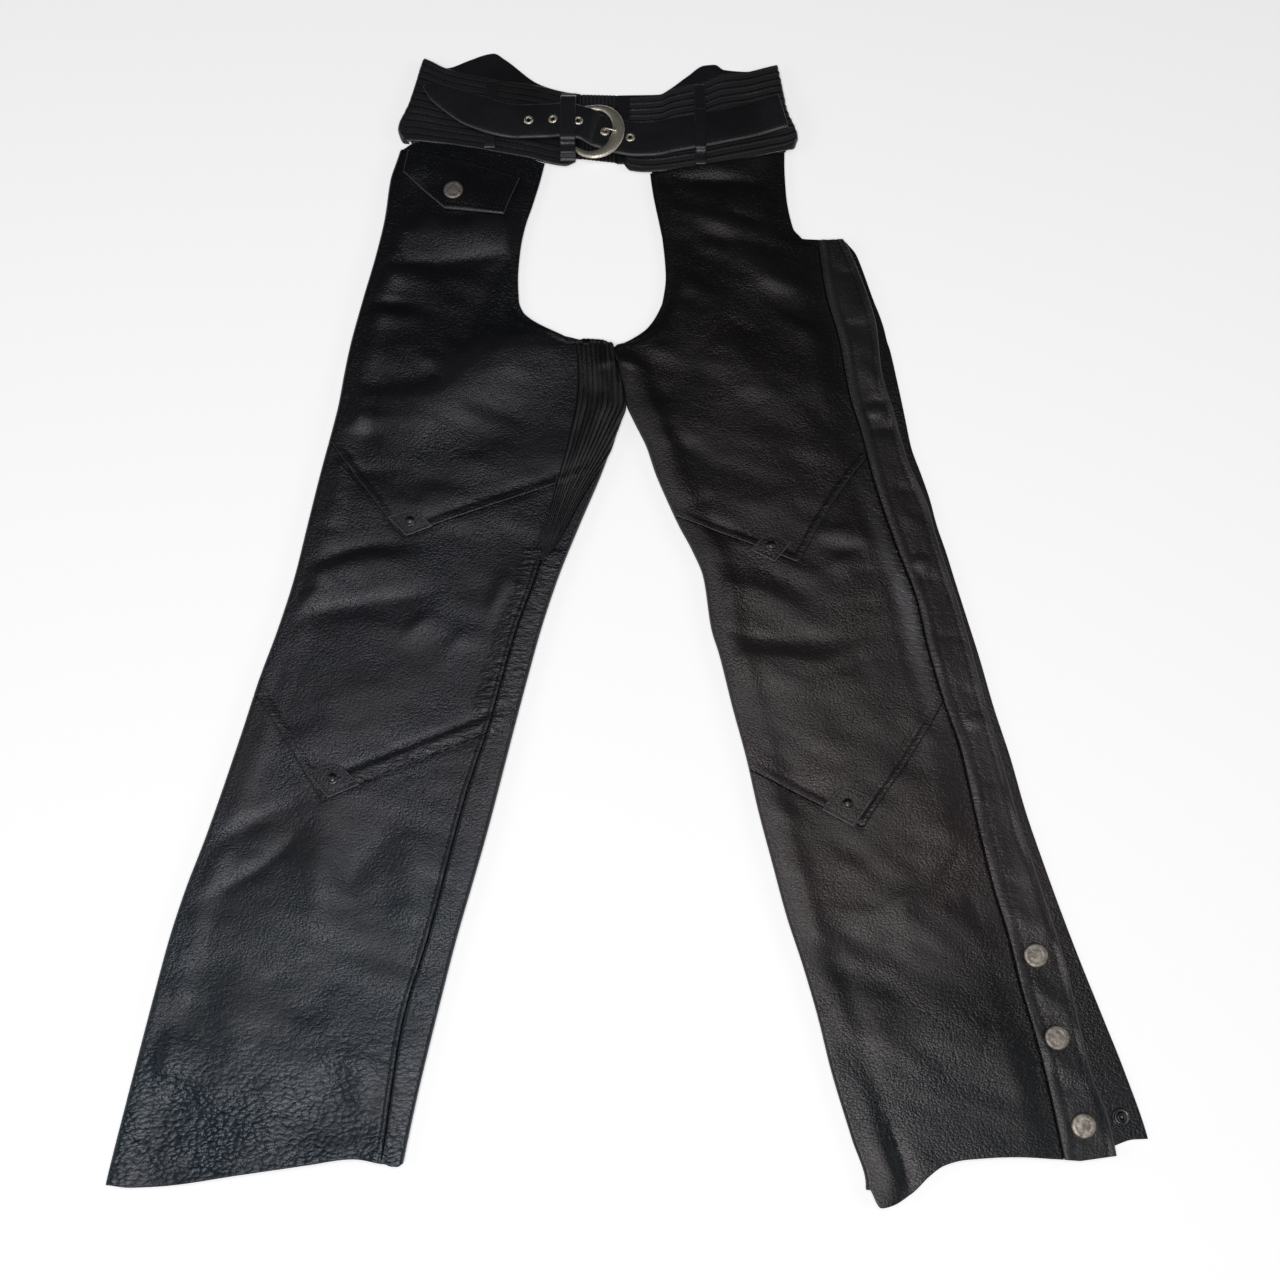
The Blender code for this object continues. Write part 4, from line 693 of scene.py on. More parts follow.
class Graph:
    """A node tree, filled node by node: each call adds one and gives its output."""

    def __init__(self, tree):
        self.tree, self.nodes = tree, tree.nodes

    def fill(self, node, inputs):
        for name, value in inputs.items():
            socket = node.inputs[name]
            for one in value if isinstance(value, list) else [value]:
                if isinstance(one, bpy.types.NodeSocket):
                    self.tree.links.new(one, socket)
                else:
                    socket.default_value = (*one, 1) if socket.type == "RGBA" else one

    def add(self, kind, inputs=None, output=0, **settings):
        """Adds a node beside the last one and gives its output."""
        node = self.nodes.new(kind)
        node.location = 200 * (len(self.nodes) % 8), -320 * (len(self.nodes) // 8)
        for key, value in settings.items():
            setattr(node, key, value)
        self.fill(node, inputs or {})
        return node.outputs[output]

    def noise(self, place, scale, detail, distortion=0.0, output="Fac"):
        return self.add("ShaderNodeTexNoise", {"Vector": place, "Scale": scale, "Detail": detail,
                                               "Distortion": distortion}, output)

    def maths(self, operation, first, second, clamp=False):
        return self.add("ShaderNodeMath", {0: first, 1: second}, operation=operation,
                        use_clamp=clamp)

    def span(self, source, low, high, to_low, to_high):
        return self.add("ShaderNodeMapRange", {"Value": source, "From Min": low, "From Max": high,
                                               "To Min": to_low, "To Max": to_high})

    def bump(self, height, distance, below=None):
        normal = {} if below is None else {"Normal": below}
        return self.add("ShaderNodeBump", {"Height": height, "Distance": distance, **normal})

    def colours(self, share, low, high, blend_type="MIX"):
        return self.add("ShaderNodeMix", {0: share, 6: low, 7: high}, 2, data_type="RGBA",
                        blend_type=blend_type)

    def place(self):
        return self.add("ShaderNodeTexCoord", output="Object")

    def mark(self, name):
        return self.add("ShaderNodeAttribute", output="Fac", attribute_name=name)


def new_material(name):
    made = bpy.data.materials.new(name)
    made.use_nodes = True
    return made, Graph(made.node_tree)


def set_shader(graph, **inputs):
    graph.fill(graph.nodes["Principled BSDF"],
               {name.replace("_", " "): value for name, value in inputs.items()})


print("node helpers ready")

# %% Grain


def pebble_cells(graph, place, size, stretch):
    """Rounded cells of one size in metres, bent so that no two are alike."""
    bend = graph.noise(place, 0.4 / size, 3, output="Color")
    shift = graph.add("ShaderNodeVectorMath", {0: bend, 1: (size * 1.7,) * 3, 2: place},
                      operation="MULTIPLY_ADD")
    stretched = graph.add("ShaderNodeMapping", {"Vector": shift, "Scale": stretch})
    away = graph.add("ShaderNodeTexVoronoi", {"Vector": stretched, "Scale": 1 / size},
                     feature="F1")
    return graph.maths("SUBTRACT", 1.0, graph.maths("MULTIPLY", away, away))


def leather_relief(graph, place, share, patches, grain, hem_grain):
    """The grain, coarse at the hem where `hem_grain` is set, and the puckers beside seams.

    `grain` gives the size of the cells and their depth in metres.
    """
    size, depth = grain
    height = pebble_cells(graph, place, size, (0.85, 1.1, 1.0))
    by_height = graph.span(share, 0.35, 0.8, 1.0, 0.7)
    if hem_grain:
        coarse = pebble_cells(graph, place, size * 2.1, (0.7, 1.2, 1.0))
        near_hem = graph.span(share, 0.05, 0.24, 1.0, 0.0)
        height = graph.add("ShaderNodeMix", {0: near_hem, 2: height, 3: coarse}, data_type="FLOAT")
        boost = graph.span(near_hem, 0, 1, 1.0, hem_grain)
        by_height = graph.maths("MULTIPLY", by_height, boost)
    strength = graph.maths("MULTIPLY", graph.span(patches, 0.3, 0.7, 0.6, 1.3), by_height)
    drawn = graph.add("ShaderNodeMapping", {"Vector": place, "Scale": (110, 300, 200)})
    scales = graph.maths("MULTIPLY", graph.noise(drawn, 1.0, 2, 0.6), graph.mark("pucker"))
    normal = graph.bump(graph.maths("MULTIPLY", height, strength), depth)
    normal = graph.bump(graph.noise(place, 1 / (size * 0.42), 2), depth * 0.34, normal)
    return graph.bump(scales, 0.0014, normal), height


print("grain ready")

# %% [markdown]
# The colour changes down each leg: near black at the thigh, a lighter brown cast at the knee,
# and a lighter, cool cast towards the hem. Part of this is painted light: the cool hem is a
# painted reflection, and the dark thigh beside the lighter knee is partly painted shade. A
# colour ramp on the height up the garment holds it, and the roughness follows.

# %% Leather
# Light grey for edge wear and painted highlights on rims and crests; near black for painted shade
# in seams and grooves.
HIGHLIGHT_AND_WEAR_GREY, PAINTED_SHADE_BLACK = (0.085, 0.082, 0.087), (0.0008, 0.0008, 0.001)


def leather(name, tones, tints, sheen, grain, hem_grain=0.0, roughness=(0.30, 0.27)):
    """Black cowhide: `tones` run from hem to waist, `tints` colour its dull and its lighter
    patches and `sheen` its gloss; `roughness` is given at the hem and at the waist."""
    made, graph = new_material(name)
    place = graph.place()
    half = LENGTH / 2 * MM
    share = graph.span(graph.add("ShaderNodeSeparateXYZ", {0: place}, "Y"), -half, half, 0, 1)
    patches = graph.noise(place, 14, 3, 0.3)
    base = graph.add("ShaderNodeValToRGB", {"Fac": share})
    ramp = base.node.color_ramp
    ramp.interpolation = "EASE"
    for _ in tones[2:]:
        ramp.elements.new(0.5)
    for stop, (up, *colour) in zip(ramp.elements, tones):
        stop.position, stop.color = up / LENGTH, (*colour, 1)
    tint = graph.colours(graph.span(patches, 0.35, 0.65, 0.0, 1.0), *tints)
    shade = graph.colours(1.0, base, tint, "MULTIPLY")
    # Painted highlights and edge wear mix the base towards light grey; painted shade in seams and
    # grooves mixes it towards near black.
    highlight_and_wear = graph.maths("MULTIPLY", graph.mark("rim"), 0.55, True)
    painted_shade_level = graph.maths("MULTIPLY", graph.mark("crevice"), 0.9, True)
    lit = graph.colours(highlight_and_wear, shade, HIGHLIGHT_AND_WEAR_GREY)
    normal, cells = leather_relief(graph, place, share, patches, grain, hem_grain)
    level = graph.span(share, 0.1, 0.75, *roughness)
    for source, *spans in ((patches, 0.3, 0.7, 0.05, -0.05), (cells, 0.5, 1.0, 0.08, 0.0),
                           (painted_shade_level, 0.0, 1.0, 0.0, -0.06)):
        level = graph.maths("ADD", level, graph.span(source, *spans))
    set_shader(graph, Base_Color=graph.colours(painted_shade_level, lit, PAINTED_SHADE_BLACK), Normal=normal,
               Roughness=level, Specular_IOR_Level=0.5, Specular_Tint=sheen)
    return made


# Colour stops up each leg: the lighter, cool hem is a painted reflection and the darker thigh is
# partly painted shade.
RIGHT_TONES = rows("""up red green blue, 60 .0012 .0085 .0135, 210 .003 .008 .0105,
    340 .0085 .0082 .0104, 450 .0075 .0072 .0092, 590 .0045 .0043 .0058,
    780 .0028 .0028 .0036, 950 .0026 .0026 .0032""")
LEFT_TONES = rows("""up red green blue, 60 .0008 .005 .0078, 170 .002 .003 .0038,
    270 .0165 .0128 .0132, 390 .0155 .0132 .0136, 560 .006 .0052 .0054,
    740 .0034 .0031 .0035, 950 .0026 .0026 .003""")
DARK_TONES = rows("up red green blue, 0 .007 .0072 .0086, 1081 .0074 .0076 .009")
COOL = ((0.80, 0.72, 0.78), (1.12, 1.30, 1.42))
WARM = ((0.70, 0.74, 0.76), (1.30, 1.18, 1.18))
EVEN = ((0.5, 0.5, 0.52), (1.6, 1.6, 1.6))
BLUISH, PINKISH, NEUTRAL = (0.93, 0.93, 1.0), (1.0, 0.92, 0.92), (0.98, 0.98, 1.0)
LEG_LOOKS = {
    "right": leather("right leg leather", RIGHT_TONES, COOL, BLUISH, (0.0018, 0.00031), 2.7),
    "left": leather("left leg leather", LEFT_TONES, WARM, PINKISH, (0.0018, 0.00029)),
}
ribbed_leather = leather("ribbed leather", DARK_TONES, EVEN, NEUTRAL, (0.0018, 0.00022),
                         roughness=(0.30, 0.30))
strap_leather = leather("strap leather", DARK_TONES, EVEN, NEUTRAL, (0.0016, 0.00018),
                        roughness=(0.31, 0.31))
print("leathers:", [m.name for m in (*LEG_LOOKS.values(), ribbed_leather, strap_leather)])

# %% [markdown]
# The fittings are cast and plated. Antique finishes are dark in their hollows and bright
# where they are rubbed, so a soft noise mixes a tarnish into the plating and roughens it.

# %% Metals and thread


def plated(name, bright, tarnish, roughness, scale, dents):
    made, graph = new_material(name)
    place = graph.place()
    stain = graph.noise(place, scale, 5, 0.4)
    share = graph.span(stain, 0.38, 0.66, 0.0, 1.0)
    set_shader(graph, Base_Color=graph.colours(share, bright, tarnish), Metallic=1.0,
               Roughness=graph.span(stain, 0.3, 0.7, roughness, roughness + 0.16),
               Normal=graph.bump(graph.noise(place, scale * 2.2, 3), dents))
    return made


nickel = plated("antique nickel", (0.40, 0.365, 0.33), (0.20, 0.17, 0.14), 0.48, 260, 0.0002)
silver = plated("antique silver", (0.88, 0.83, 0.73), (0.60, 0.54, 0.44), 0.32, 330, 0.00014)
gunmetal = plated("dark rivet metal", (0.10, 0.098, 0.10), (0.03, 0.03, 0.032), 0.28, 300, 0.0001)
thread, graph = new_material("black thread")
twist = graph.colours(graph.noise(graph.place(), 2600, 2), (0.0015, 0.0015, 0.002),
                      (0.009, 0.009, 0.010))
set_shader(graph, Base_Color=twist, Roughness=0.7)
print("metals and thread ready")

# %% [markdown]
# ## The legs
# Rows of a front panel start with fine steps at its lower seam, so that the turned edge is
# crisp, and end the same way. Between them they are spread evenly.

# %% Front panels
SEAM_STEPS = [0, 0.45, 1.1, 2.2, 3.4, 4.4, 5.4, 6.8, 8.6, 10.4, 12, 13.2, 14, 14.7, 15.6, 17, 19,
              21.4]
TOP_STEPS = [6, 4, 2.4, 1.1, 0.45, 0]
ROLL_STEPS = np.array([UNDERLAP, 10, 8, QUARTER, 4.4, 3.1, 1.8, 0.6, -0.6, -1.8, -3.1, -4.4])
SIDE_STEPS = np.array([6.0, 5.2, 4.4, 3.4, 2.2, 1.1, 0.45, 0])
EDGE_TURNS = np.radians([11, 22, 36, 50, 64, 78])


def panel_ups(lower, upper, pitch, from_seam):
    """Heights of a panel's rows at each column, between its two boundaries."""
    low_steps = SEAM_STEPS if from_seam else EDGE_STEPS + [3.2, 5.0]
    room = float(np.mean(upper - lower) - low_steps[-1] - TOP_STEPS[0])
    return np.stack([lower + s for s in low_steps[:-1]]
                    + [mix(lower + low_steps[-1], upper - TOP_STEPS[0], part)
                       for part in steps_between(0, 1, pitch / room)]
                    + [upper - s for s in TOP_STEPS[1:]])


def front_panel(side, panel, lower_line, upper_line, pitch, from_seam):
    if side == "right":
        width, rolled = 190.0, len(ROLL_STEPS)
        shares = np.concatenate([np.zeros(rolled), steps_between(0, 1 - 7.2 / width, 2.5 / width),
                                 1 - SIDE_STEPS / width])
    else:
        width, rolled = 205.0, len(EDGE_TURNS)
        shares = np.concatenate([[0, 0.45 / width, 1.1 / width],
                                 steps_between(2.4 / width, 1, 2.4 / width), np.ones(rolled)])[::-1]
    ups = panel_ups(lower_line(shares), upper_line(shares), pitch, from_seam)
    edge_ups, flat_ups = ups[:, :rolled], ups[:, rolled:]
    across = mix(*front_ends(side, flat_ups), shares[rolled:])
    if side == "right":
        edge = roll_points(right_outer(edge_ups), 1, edge_ups, ROLL_STEPS, side)
    else:
        edge_across = left_inner(edge_ups) + ROLL * (1 - np.cos(EDGE_TURNS))
        flat, rolled_z = front_height(side, edge_across, edge_ups), ROLL + ROLL * np.sin(EDGE_TURNS)
        edge = spots_at(edge_across, edge_ups, mix(flat, rolled_z, closed_share(edge_ups)))
    top = spots_at(across, flat_ups, front_height(side, across, flat_ups))
    grid = np.concatenate([edge, top], axis=1)
    spots = grid[..., 0], grid[..., 1]
    shell(f"{side}_front_{panel}_leather", grid, LEATHER, LEG_LOOKS[side], edge_wear_and_highlight=0.5,
          pucker=pucker_share(side, *spots), crevice=seam_shadow_share(side, *spots),
          rim=highlight_and_wear_share(side, *spots))


def shifted(line, by):
    return lambda share: line(share) + by


for side in ("right", "left"):
    lower_vee, upper_vee = (vee_line(VEES[side, which]) for which in ("lower", "upper"))
    front_panel(side, "shin", HEMS[side], shifted(lower_vee, -SEAM / 2), 2.8, False)
    front_panel(side, "knee", shifted(lower_vee, SEAM / 2), shifted(upper_vee, -SEAM / 2), 2.1,
                True)
    front_panel(side, "thigh", shifted(upper_vee, SEAM / 2),
                shifted(YOKE_SEAMS[side], -CURVED_SEAM), 2.7, True)

# %% [markdown]
# Each back panel lies flat on the surface. The right one also rolls over the inner edge and
# shows on top as a strip up to the inseam. The left one rolls only up to the seam at its
# inner edge, and its free outer edge shows beside the placket.

# %% Right back
WAIST_LOWER = {
    "right": line_from("""across up, -229 984, -222 978, -204 978.5, -161 973.5, -130 967.5,
                       -97 960.5, -84 956.5, -64 953, -54 957.5"""),
    "left": line_from("""across up, -7 957, -1 949, 15 947, 59 951.5, 104 960, 135 966.5,
                      150 968.5, 163 974"""),
}


def soft_underside(grid, creases):
    """Shallow folds in a back panel's lying part, pressed up into the air over it."""
    folds = -crease_height(creases, grid[..., 0] * 0.97 + 9, grid[..., 1] * 1.02 - 14)
    lift = ease(grid[..., 2] / 0.2) * np.minimum(np.maximum(folds, 0) * 0.12, 0.36)
    return grid + spots_at(0, 0, lift)


def build_right_back():
    parts = np.concatenate([[0, 0.009, 0.022], steps_between(0.045, 1, 0.0325)])
    flat_parts = steps_between(0.0, 1.0, 1 / 15)[:-1]
    ups = np.concatenate([edged(29, 120, 2.6, True, False), steps_between(122.4, 560, 2.4),
                          steps_between(563, 752, 3.0), steps_between(753, 780, 1.5),
                          edged(783, 966, 4.5, False, True)])

    def points_at(up, column):
        """One column of the panel; `column` counts from the seam round to the flat side."""
        flat_start = right_outer(up) + ROLL + UNDERLAP - QUARTER + HIDDEN_SEAM
        last = right_back_end(up) + np.where(up > GUSSET_FOOT, CURVED_SEAM, SEAM / 2)
        first = np.maximum(8.5, last + 5)
        below = right_inner(SEAT_FOOT) - (ROLL + right_back_end(SEAT_FOOT) - QUARTER)
        edge = mix(right_front_end(up) - HEM_SETBACK, below - 0.45, ease((up - SEAT_FOOT) / 16))
        if column < len(parts):
            rolled = roll_points(right_inner(up), -1, up, mix(last, first, parts[column]), "right")
            flat = spots_at(mix(edge, edge - 12, parts[column]), up, 0.0)
        else:
            share = 1 - flat_parts[column - len(parts)] - 1 / 15
            start = roll_points(right_inner(up), -1, up, first)[..., 0]
            rolled = spots_at(mix(flat_start, start, share), up, 0.0)
            flat = spots_at(mix(flat_start, edge - 12, share), up, 0.0)
        return np.where((up > SEAT_FOOT)[..., None], flat, rolled)

    grid_columns = []
    for column in range(len(parts) + len(flat_parts)):
        low = np.array([30.0])
        for _ in range(4):
            spot = points_at(low, column)[0]
            share = (spot[0] - right_outer(low)) / (right_inner(low) - right_outer(low))
            low = HEMS["right strip" if spot[2] > ROLL else "right back"](share)
        top_across = points_at(np.array([966.0]), column)[0, 0]
        top = WAIST_LOWER["right"](np.maximum(top_across, -222)) + 0.95
        column_ups = np.where(ups < 120, mix(low, 120, (ups - 29) / (120 - 29)),
                              np.where(ups > 930, mix(930, top, (ups - 930) / 36), ups))
        grid_columns.append(points_at(column_ups, column))
    grid = np.stack(grid_columns, axis=1)
    spots, on_top = (grid[..., 0], grid[..., 1]), grid[..., 2] > ROLL
    # Painted highlight: a gloss along the strip beside the inner fold, below the gusset.
    highlight_and_wear = 0.35 * bump_at(right_inner(spots[1]) - spots[0] - 7, 5) * on_top * (spots[1] < 540)
    shell("right_back_leather", soft_underside(grid, CREASES["right"]), LEATHER,
          LEG_LOOKS["right"], edge_wear_and_highlight=0.5, pucker=pucker_share("right", *spots) * on_top,
          crevice=seam_shadow_share("right", *spots) * on_top,
          rim=highlight_and_wear * (0.8 + 0.5 * soft_noise(*spots, 16, 26, 9)))


build_right_back()

# %% Left back


def build_left_back():
    turns = EDGE_TURNS[::-1]
    shares = np.concatenate([[0, 0.0018, 0.0045, 0.009], steps_between(0.015, 0.17, 0.007),
                             steps_between(0.19, 1, 0.0205), np.ones(len(turns))])
    ups = np.concatenate([edged(0, 110, 2.8, True, False), steps_between(113, 860, 3.6),
                          steps_between(861, 880, 0.8), edged(883, 962, 4.0, False, True)])[:, None]
    top = WAIST_LOWER["left"](mix(149, 19, shares)) + 0.95
    ups = np.where(ups < 110, mix(HEMS["left back"](shares), 110.0, ups / 110),
                   np.where(ups > 930, mix(930.0, top, (ups - 930) / 32), ups))
    inner = left_inner(ups) + HEM_SETBACK * (1 - closed_share(ups))
    across = mix(left_outer(ups), inner + ROLL, shares)
    rolled = slice(-len(turns), None)
    across[:, rolled] = inner[:, rolled] + ROLL * (1 - np.cos(turns))
    z = np.zeros(across.shape)
    z[:, rolled] = (ROLL - ROLL * np.sin(turns)) * closed_share(ups[:, rolled])
    beside = across - placket_edge(ups)
    shadow = (ups < 860) * ease((beside - 2.5) / mix(9.0, 3.0, ease((ups - 90) / 80)))
    shell("left_back_leather", soft_underside(spots_at(across, ups, z), CREASES["left"]), LEATHER,
          LEG_LOOKS["left"], edge_wear_and_highlight=0.5, crevice=shadow)


build_left_back()

# %% [markdown]
# At the right inner thigh sits a stretch gusset: leather sewn over elastic cords, so it
# shows twelve round ribs. Each rib is a half wave over the smooth wall, narrow at the groove.

# %% Ribbed gusset
GUSSET_RIBS, GUSSET_WALL = 12, 1.2


def cord_ribs(share, count, height, sharpness=0.62):
    """Round cords side by side with tight grooves between them."""
    return height * np.abs(np.sin(pi * count * share)) ** sharpness


def build_gusset():
    top_up = line_from("share up, 0 766, .12 769, .45 768, .72 760.5, 1 759")
    shares = steps_between(0, 1, 1 / (GUSSET_RIBS * 7))
    parts = edged_shares(212, 2.7)[:, None]
    ups = mix(549.0, top_up(shares), parts)
    edge = right_inner(np.minimum(ups, SEAT_FOOT))
    start = right_front_end(np.minimum(ups, 762)) + SEAM / 2 - edge + ROLL - QUARTER
    end = right_back_end(np.minimum(ups, SEAT_FOOT)) - CURVED_SEAM / 2
    grid = roll_points(edge, -1, ups, mix(start, end, shares), "right")
    z = grid[..., 2]
    grown = np.where(z > ROLL * 1.6, 1.0, 0.4 + 0.6 * ease((ROLL * 1.6 - z) / 3)) * (z > ROLL * 0.3)
    uneven = 1 + 0.22 * soft_noise(shares * 90, ups, 8, 30, 3)
    ribs = cord_ribs(shares, GUSSET_RIBS, 1.3) * grown * uneven
    grid = grid + facing(grid) * ribs[..., None]
    # Painted shade in the grooves between the ribs and along the right edge where the roll turns
    # down; painted highlights on the rib crests.
    groove = 1 - np.clip(ribs / 1.28, 0, 1) ** 3.5
    shell("right_gusset_leather", grid, GUSSET_WALL, ribbed_leather, edge_wear_and_highlight=0.3,
          rim=mix(0.65, 0.12, parts) * np.clip(ribs / 1.3, 0, 1) ** 12,
          crevice=np.maximum(groove, 0.7 * ease((1.02 - shares) / 0.35)))


build_gusset()

# %% [markdown]
# The placket is a doubled strip that runs down the open side of the left leg. Its turned
# edge along the seam is rounded, snaps that are covered by leather push up as flat bumps,
# and it creases across where the knee bends it.

# %% Placket
PLACKET_WALL, PLACKET_RISE = 2.4, 1.0
PLACKET_BUMPS = [(228, 694), (262, 547), (302, 401)]


def placket_height(across, up):
    seam_side, free_side = across - placket_seam(up), placket_edge(up) - across
    z = FRONT_LIE + PLACKET_RISE + 0.4 + 0.5 * np.sin(pi * up / 84) ** 2
    z = z + 0.7 * bump_at(seam_side - 4.5, 3.6) - 0.15 * bump_at(seam_side - 10.5, 1.6)
    z = z - 0.3 * bump_at(free_side - 6.5, 1.3) + 0.2 * bump_at(free_side - 2.5, 2)
    for bump_across, bump_up in PLACKET_BUMPS:
        away = np.hypot((across - bump_across) / 10.0, (up - bump_up) / 8.5)
        z = z + 1.3 * ease((away - 0.35) / 0.75)
    inside = 1 - ease(np.minimum(seam_side - 2, free_side - 1) / 6)
    folds = crease_height(CREASES["placket"], across, up) + 0.7 * waves(across, up, 31)
    return z + inside * folds


def build_placket():
    bottom = line_from("share up, 0 37, .3 36, 1 40", straight_line)
    top = line_from("share up, 0 868, .12 872, 1 873", straight_line)
    shares, parts = edged_shares(36, 1.5), edged_shares(833, 2.5)[:, None]
    ups = mix(bottom(shares), top(shares), parts)
    across = mix(placket_seam(ups) + SEAM / 2, placket_edge(ups), shares)
    seam_side, free_side = across - placket_seam(ups), placket_edge(ups) - across
    pucker = band(seam_side - 1, 20) * np.maximum(bump_at(ups - 300, 260), bump_at(ups - 165, 70))
    # An uneven lighter tone over the strip, and painted highlights on the snap bumps.
    lightening_and_highlight = 0.24 * (0.8 + 0.5 * soft_noise(across, ups, 18, 34, 12))
    for bump_across, bump_up in PLACKET_BUMPS:
        lightening_and_highlight += 0.5 * bump_at(np.hypot((across - bump_across) / 7, (ups - bump_up + 4) / 3), 1.0)
    # Painted highlights along the free edge and on the ridge beside the seam.
    lines = 0.9 * ease((free_side - 0.6) / 1.8) + 0.3 * bump_at(seam_side - 4.5, 2.4)
    # Painted shade at the seam, and below in the stitch groove by the free edge.
    sunk = mix(0.4, 1.0, ease((ups - 560) / 130)) * ease(seam_side / 2.2)
    shell("left_placket_leather", spots_at(across, ups, placket_height(across, ups)), PLACKET_WALL,
          LEG_LOOKS["left"], pucker=0.6 * pucker, rim=lines + lightening_and_highlight,
          crevice=np.maximum(sunk, 0.6 * bump_at(free_side - 6.5, 1.0)))


build_placket()

# %% [markdown]
# A rhomb of leather is sewn over the tip of each V seam, and a rivet goes through it. It
# rides on the turned strip, so it follows the panel's height without its fine steps.

# %% Patches on the V tips
Patch = namedtuple("Patch", "name tip_across tip_up left_turn right_turn side")
PATCHES = [
    Patch("right_upper", -203, 572, 135, 21, 26), Patch("right_lower", -261, 333, 133, 23, 30),
    Patch("left_upper", 130, 547, 153, 50, 25), Patch("left_lower", 192, 308, 151, 54, 31),
]
PATCH_WALL = 1.0
PATCH_LIFT = 1.1               # over the panel: the turned strip and a little air


def calm_height(side, across, up, reach=4.0):
    """The panel's height averaged round a point, for what is sewn onto it."""
    around = [(0, 0), (reach, 0), (-reach, 0), (0, reach), (0, -reach)]
    return sum(front_height(side, across + x, up + y, False) for x, y in around) / len(around)


def patch_point(patch, a, b):
    """A point of the rhomb, `a` along its left side and `b` along its right."""
    reach = patch.side * (1 - 0.14 * (a * b) ** 3)
    across, up = (tip + reach * a * turned(radians(patch.left_turn))
                  + reach * b * turned(radians(patch.right_turn))
                  for tip, turned in ((patch.tip_across, cos), (patch.tip_up, sin)))
    return across, up


def patch_top(patch, across, up):
    return calm_height(patch.name.split("_")[0], across, up) + PATCH_LIFT + PATCH_WALL


for patch in PATCHES:
    steps = edged_shares(patch.side, 1.6)
    a, b = np.meshgrid(steps, steps, indexing="ij")
    across, up = patch_point(patch, a, b)
    rim_away = np.minimum.reduce([a, b, 1 - a, 1 - b]) * patch.side
    z = patch_top(patch, across, up) - 0.3 * bump_at(rim_away - 3, 0.8)
    # Painted highlight along the patch's edge, painted shade in its stitch groove.
    shell(f"{patch.name}_patch_leather", spots_at(across, up, z), PATCH_WALL,
          LEG_LOOKS[patch.name.split("_")[0]], rim=0.8 * ease((rim_away - 0.5) / 1.5),
          crevice=0.9 * bump_at(rim_away - 3, 0.9))

# %% [markdown]
# The pocket flap on the right thigh is a doubled piece with a turned edge, cut slanting so
# that its blunt point carries the snap. Only its upper edge is sewn down.

# %% Pocket flap
FLAP_WALL = 2.4
flap_lower = line_from("share up, 0 943, .42 904, 1 897", straight_line)
flap_upper = line_from("share up, 0 967, .5 957, 1 938")
flap_left = line_from("part across, 0 -221, 1 -217", straight_line)
flap_right = line_from("part across, 0 -122, .55 -114, 1 -107", straight_line)


def flap_top(across, up):
    return calm_height("right", across, up, 6.0) + 0.9 + FLAP_WALL


def flap_spots(shares, parts, by):
    """Points on the flap's face, by so much over it."""
    across = mix(flap_left(parts), flap_right(parts), shares)
    up = mix(flap_lower(shares), flap_upper(shares), parts)
    uneven = 0.35 * soft_noise(across, up, 22, 15, 8)
    return spots_at(across, up, flap_top(across, up) + by + uneven)


shares, parts = edged_shares(100, 1.7), edged_shares(50, 1.6)[:, None]
flap_rim = np.minimum(np.minimum(shares, 1 - shares) * 100, parts * 50)
sunk = -0.25 * bump_at(flap_rim - 5, 1.0) - 0.7 * ease(flap_rim / 3)
# Painted highlight along the lower edge, painted shade in the stitch groove.
shell("pocket_flap_leather", flap_spots(shares, parts, sunk), FLAP_WALL, LEG_LOOKS["right"],
      edge_wear_and_highlight=0.35, rim=1.6 * ease(parts * 50 / 1.4), crevice=0.8 * bump_at(flap_rim - 5, 0.8))

# %% [markdown]
# ## The waist
# The front yokes are quilted into twelve cords that run along the waist. The grid's rows
# follow them, eight to a cord, and the cords vary a little in height, as filled channels do.

# %% Front yokes
YOKE_WALL, YOKE_RIBS, RIB_HEIGHT = 2.0, 12, 1.4
YOKE_LIE = YOKE_WALL + SEAM + YOKE_WALL
Yoke = namedtuple("Yoke", "bottom top fold inner_end inward depth seed")
YOKES = {
    "right": Yoke(WAIST_LOWER["right"],
                  line_from("""across up, -229 1075, -207 1072, -184 1062, -137 1051, -90 1042,
                            -54 1032"""),
                  line_from("part across, 0 -224, .1 -228.5, .5 -218, 1 -207"),
                  line_from("part across, 0 -54, 1 -54", straight_line), 1, 0.16, 41),
    "left": Yoke(WAIST_LOWER["left"],
                 line_from("""across up, -1 1030, 28 1032, 39 1038, 72 1047, 90 1055, 116 1058,
                           146 1064, 163 1067"""),
                 line_from("part across, 0 160, .1 163, .5 153, 1 146"),
                 line_from("part across, 0 -6, 1 -1", straight_line), -1, 0.34, 47),
}


def yoke_height(side, across, up):
    """Height of a front yoke between its ribs, lifted at the side fold."""
    yoke = YOKES[side]
    low, high = yoke.bottom(across), yoke.top(across)
    part = np.clip((up - low) / (high - low), 0, 1)
    return YOKE_LIE + (2 * ROLL - YOKE_LIE) * roll_lift((across - yoke.fold(part)) * yoke.inward)


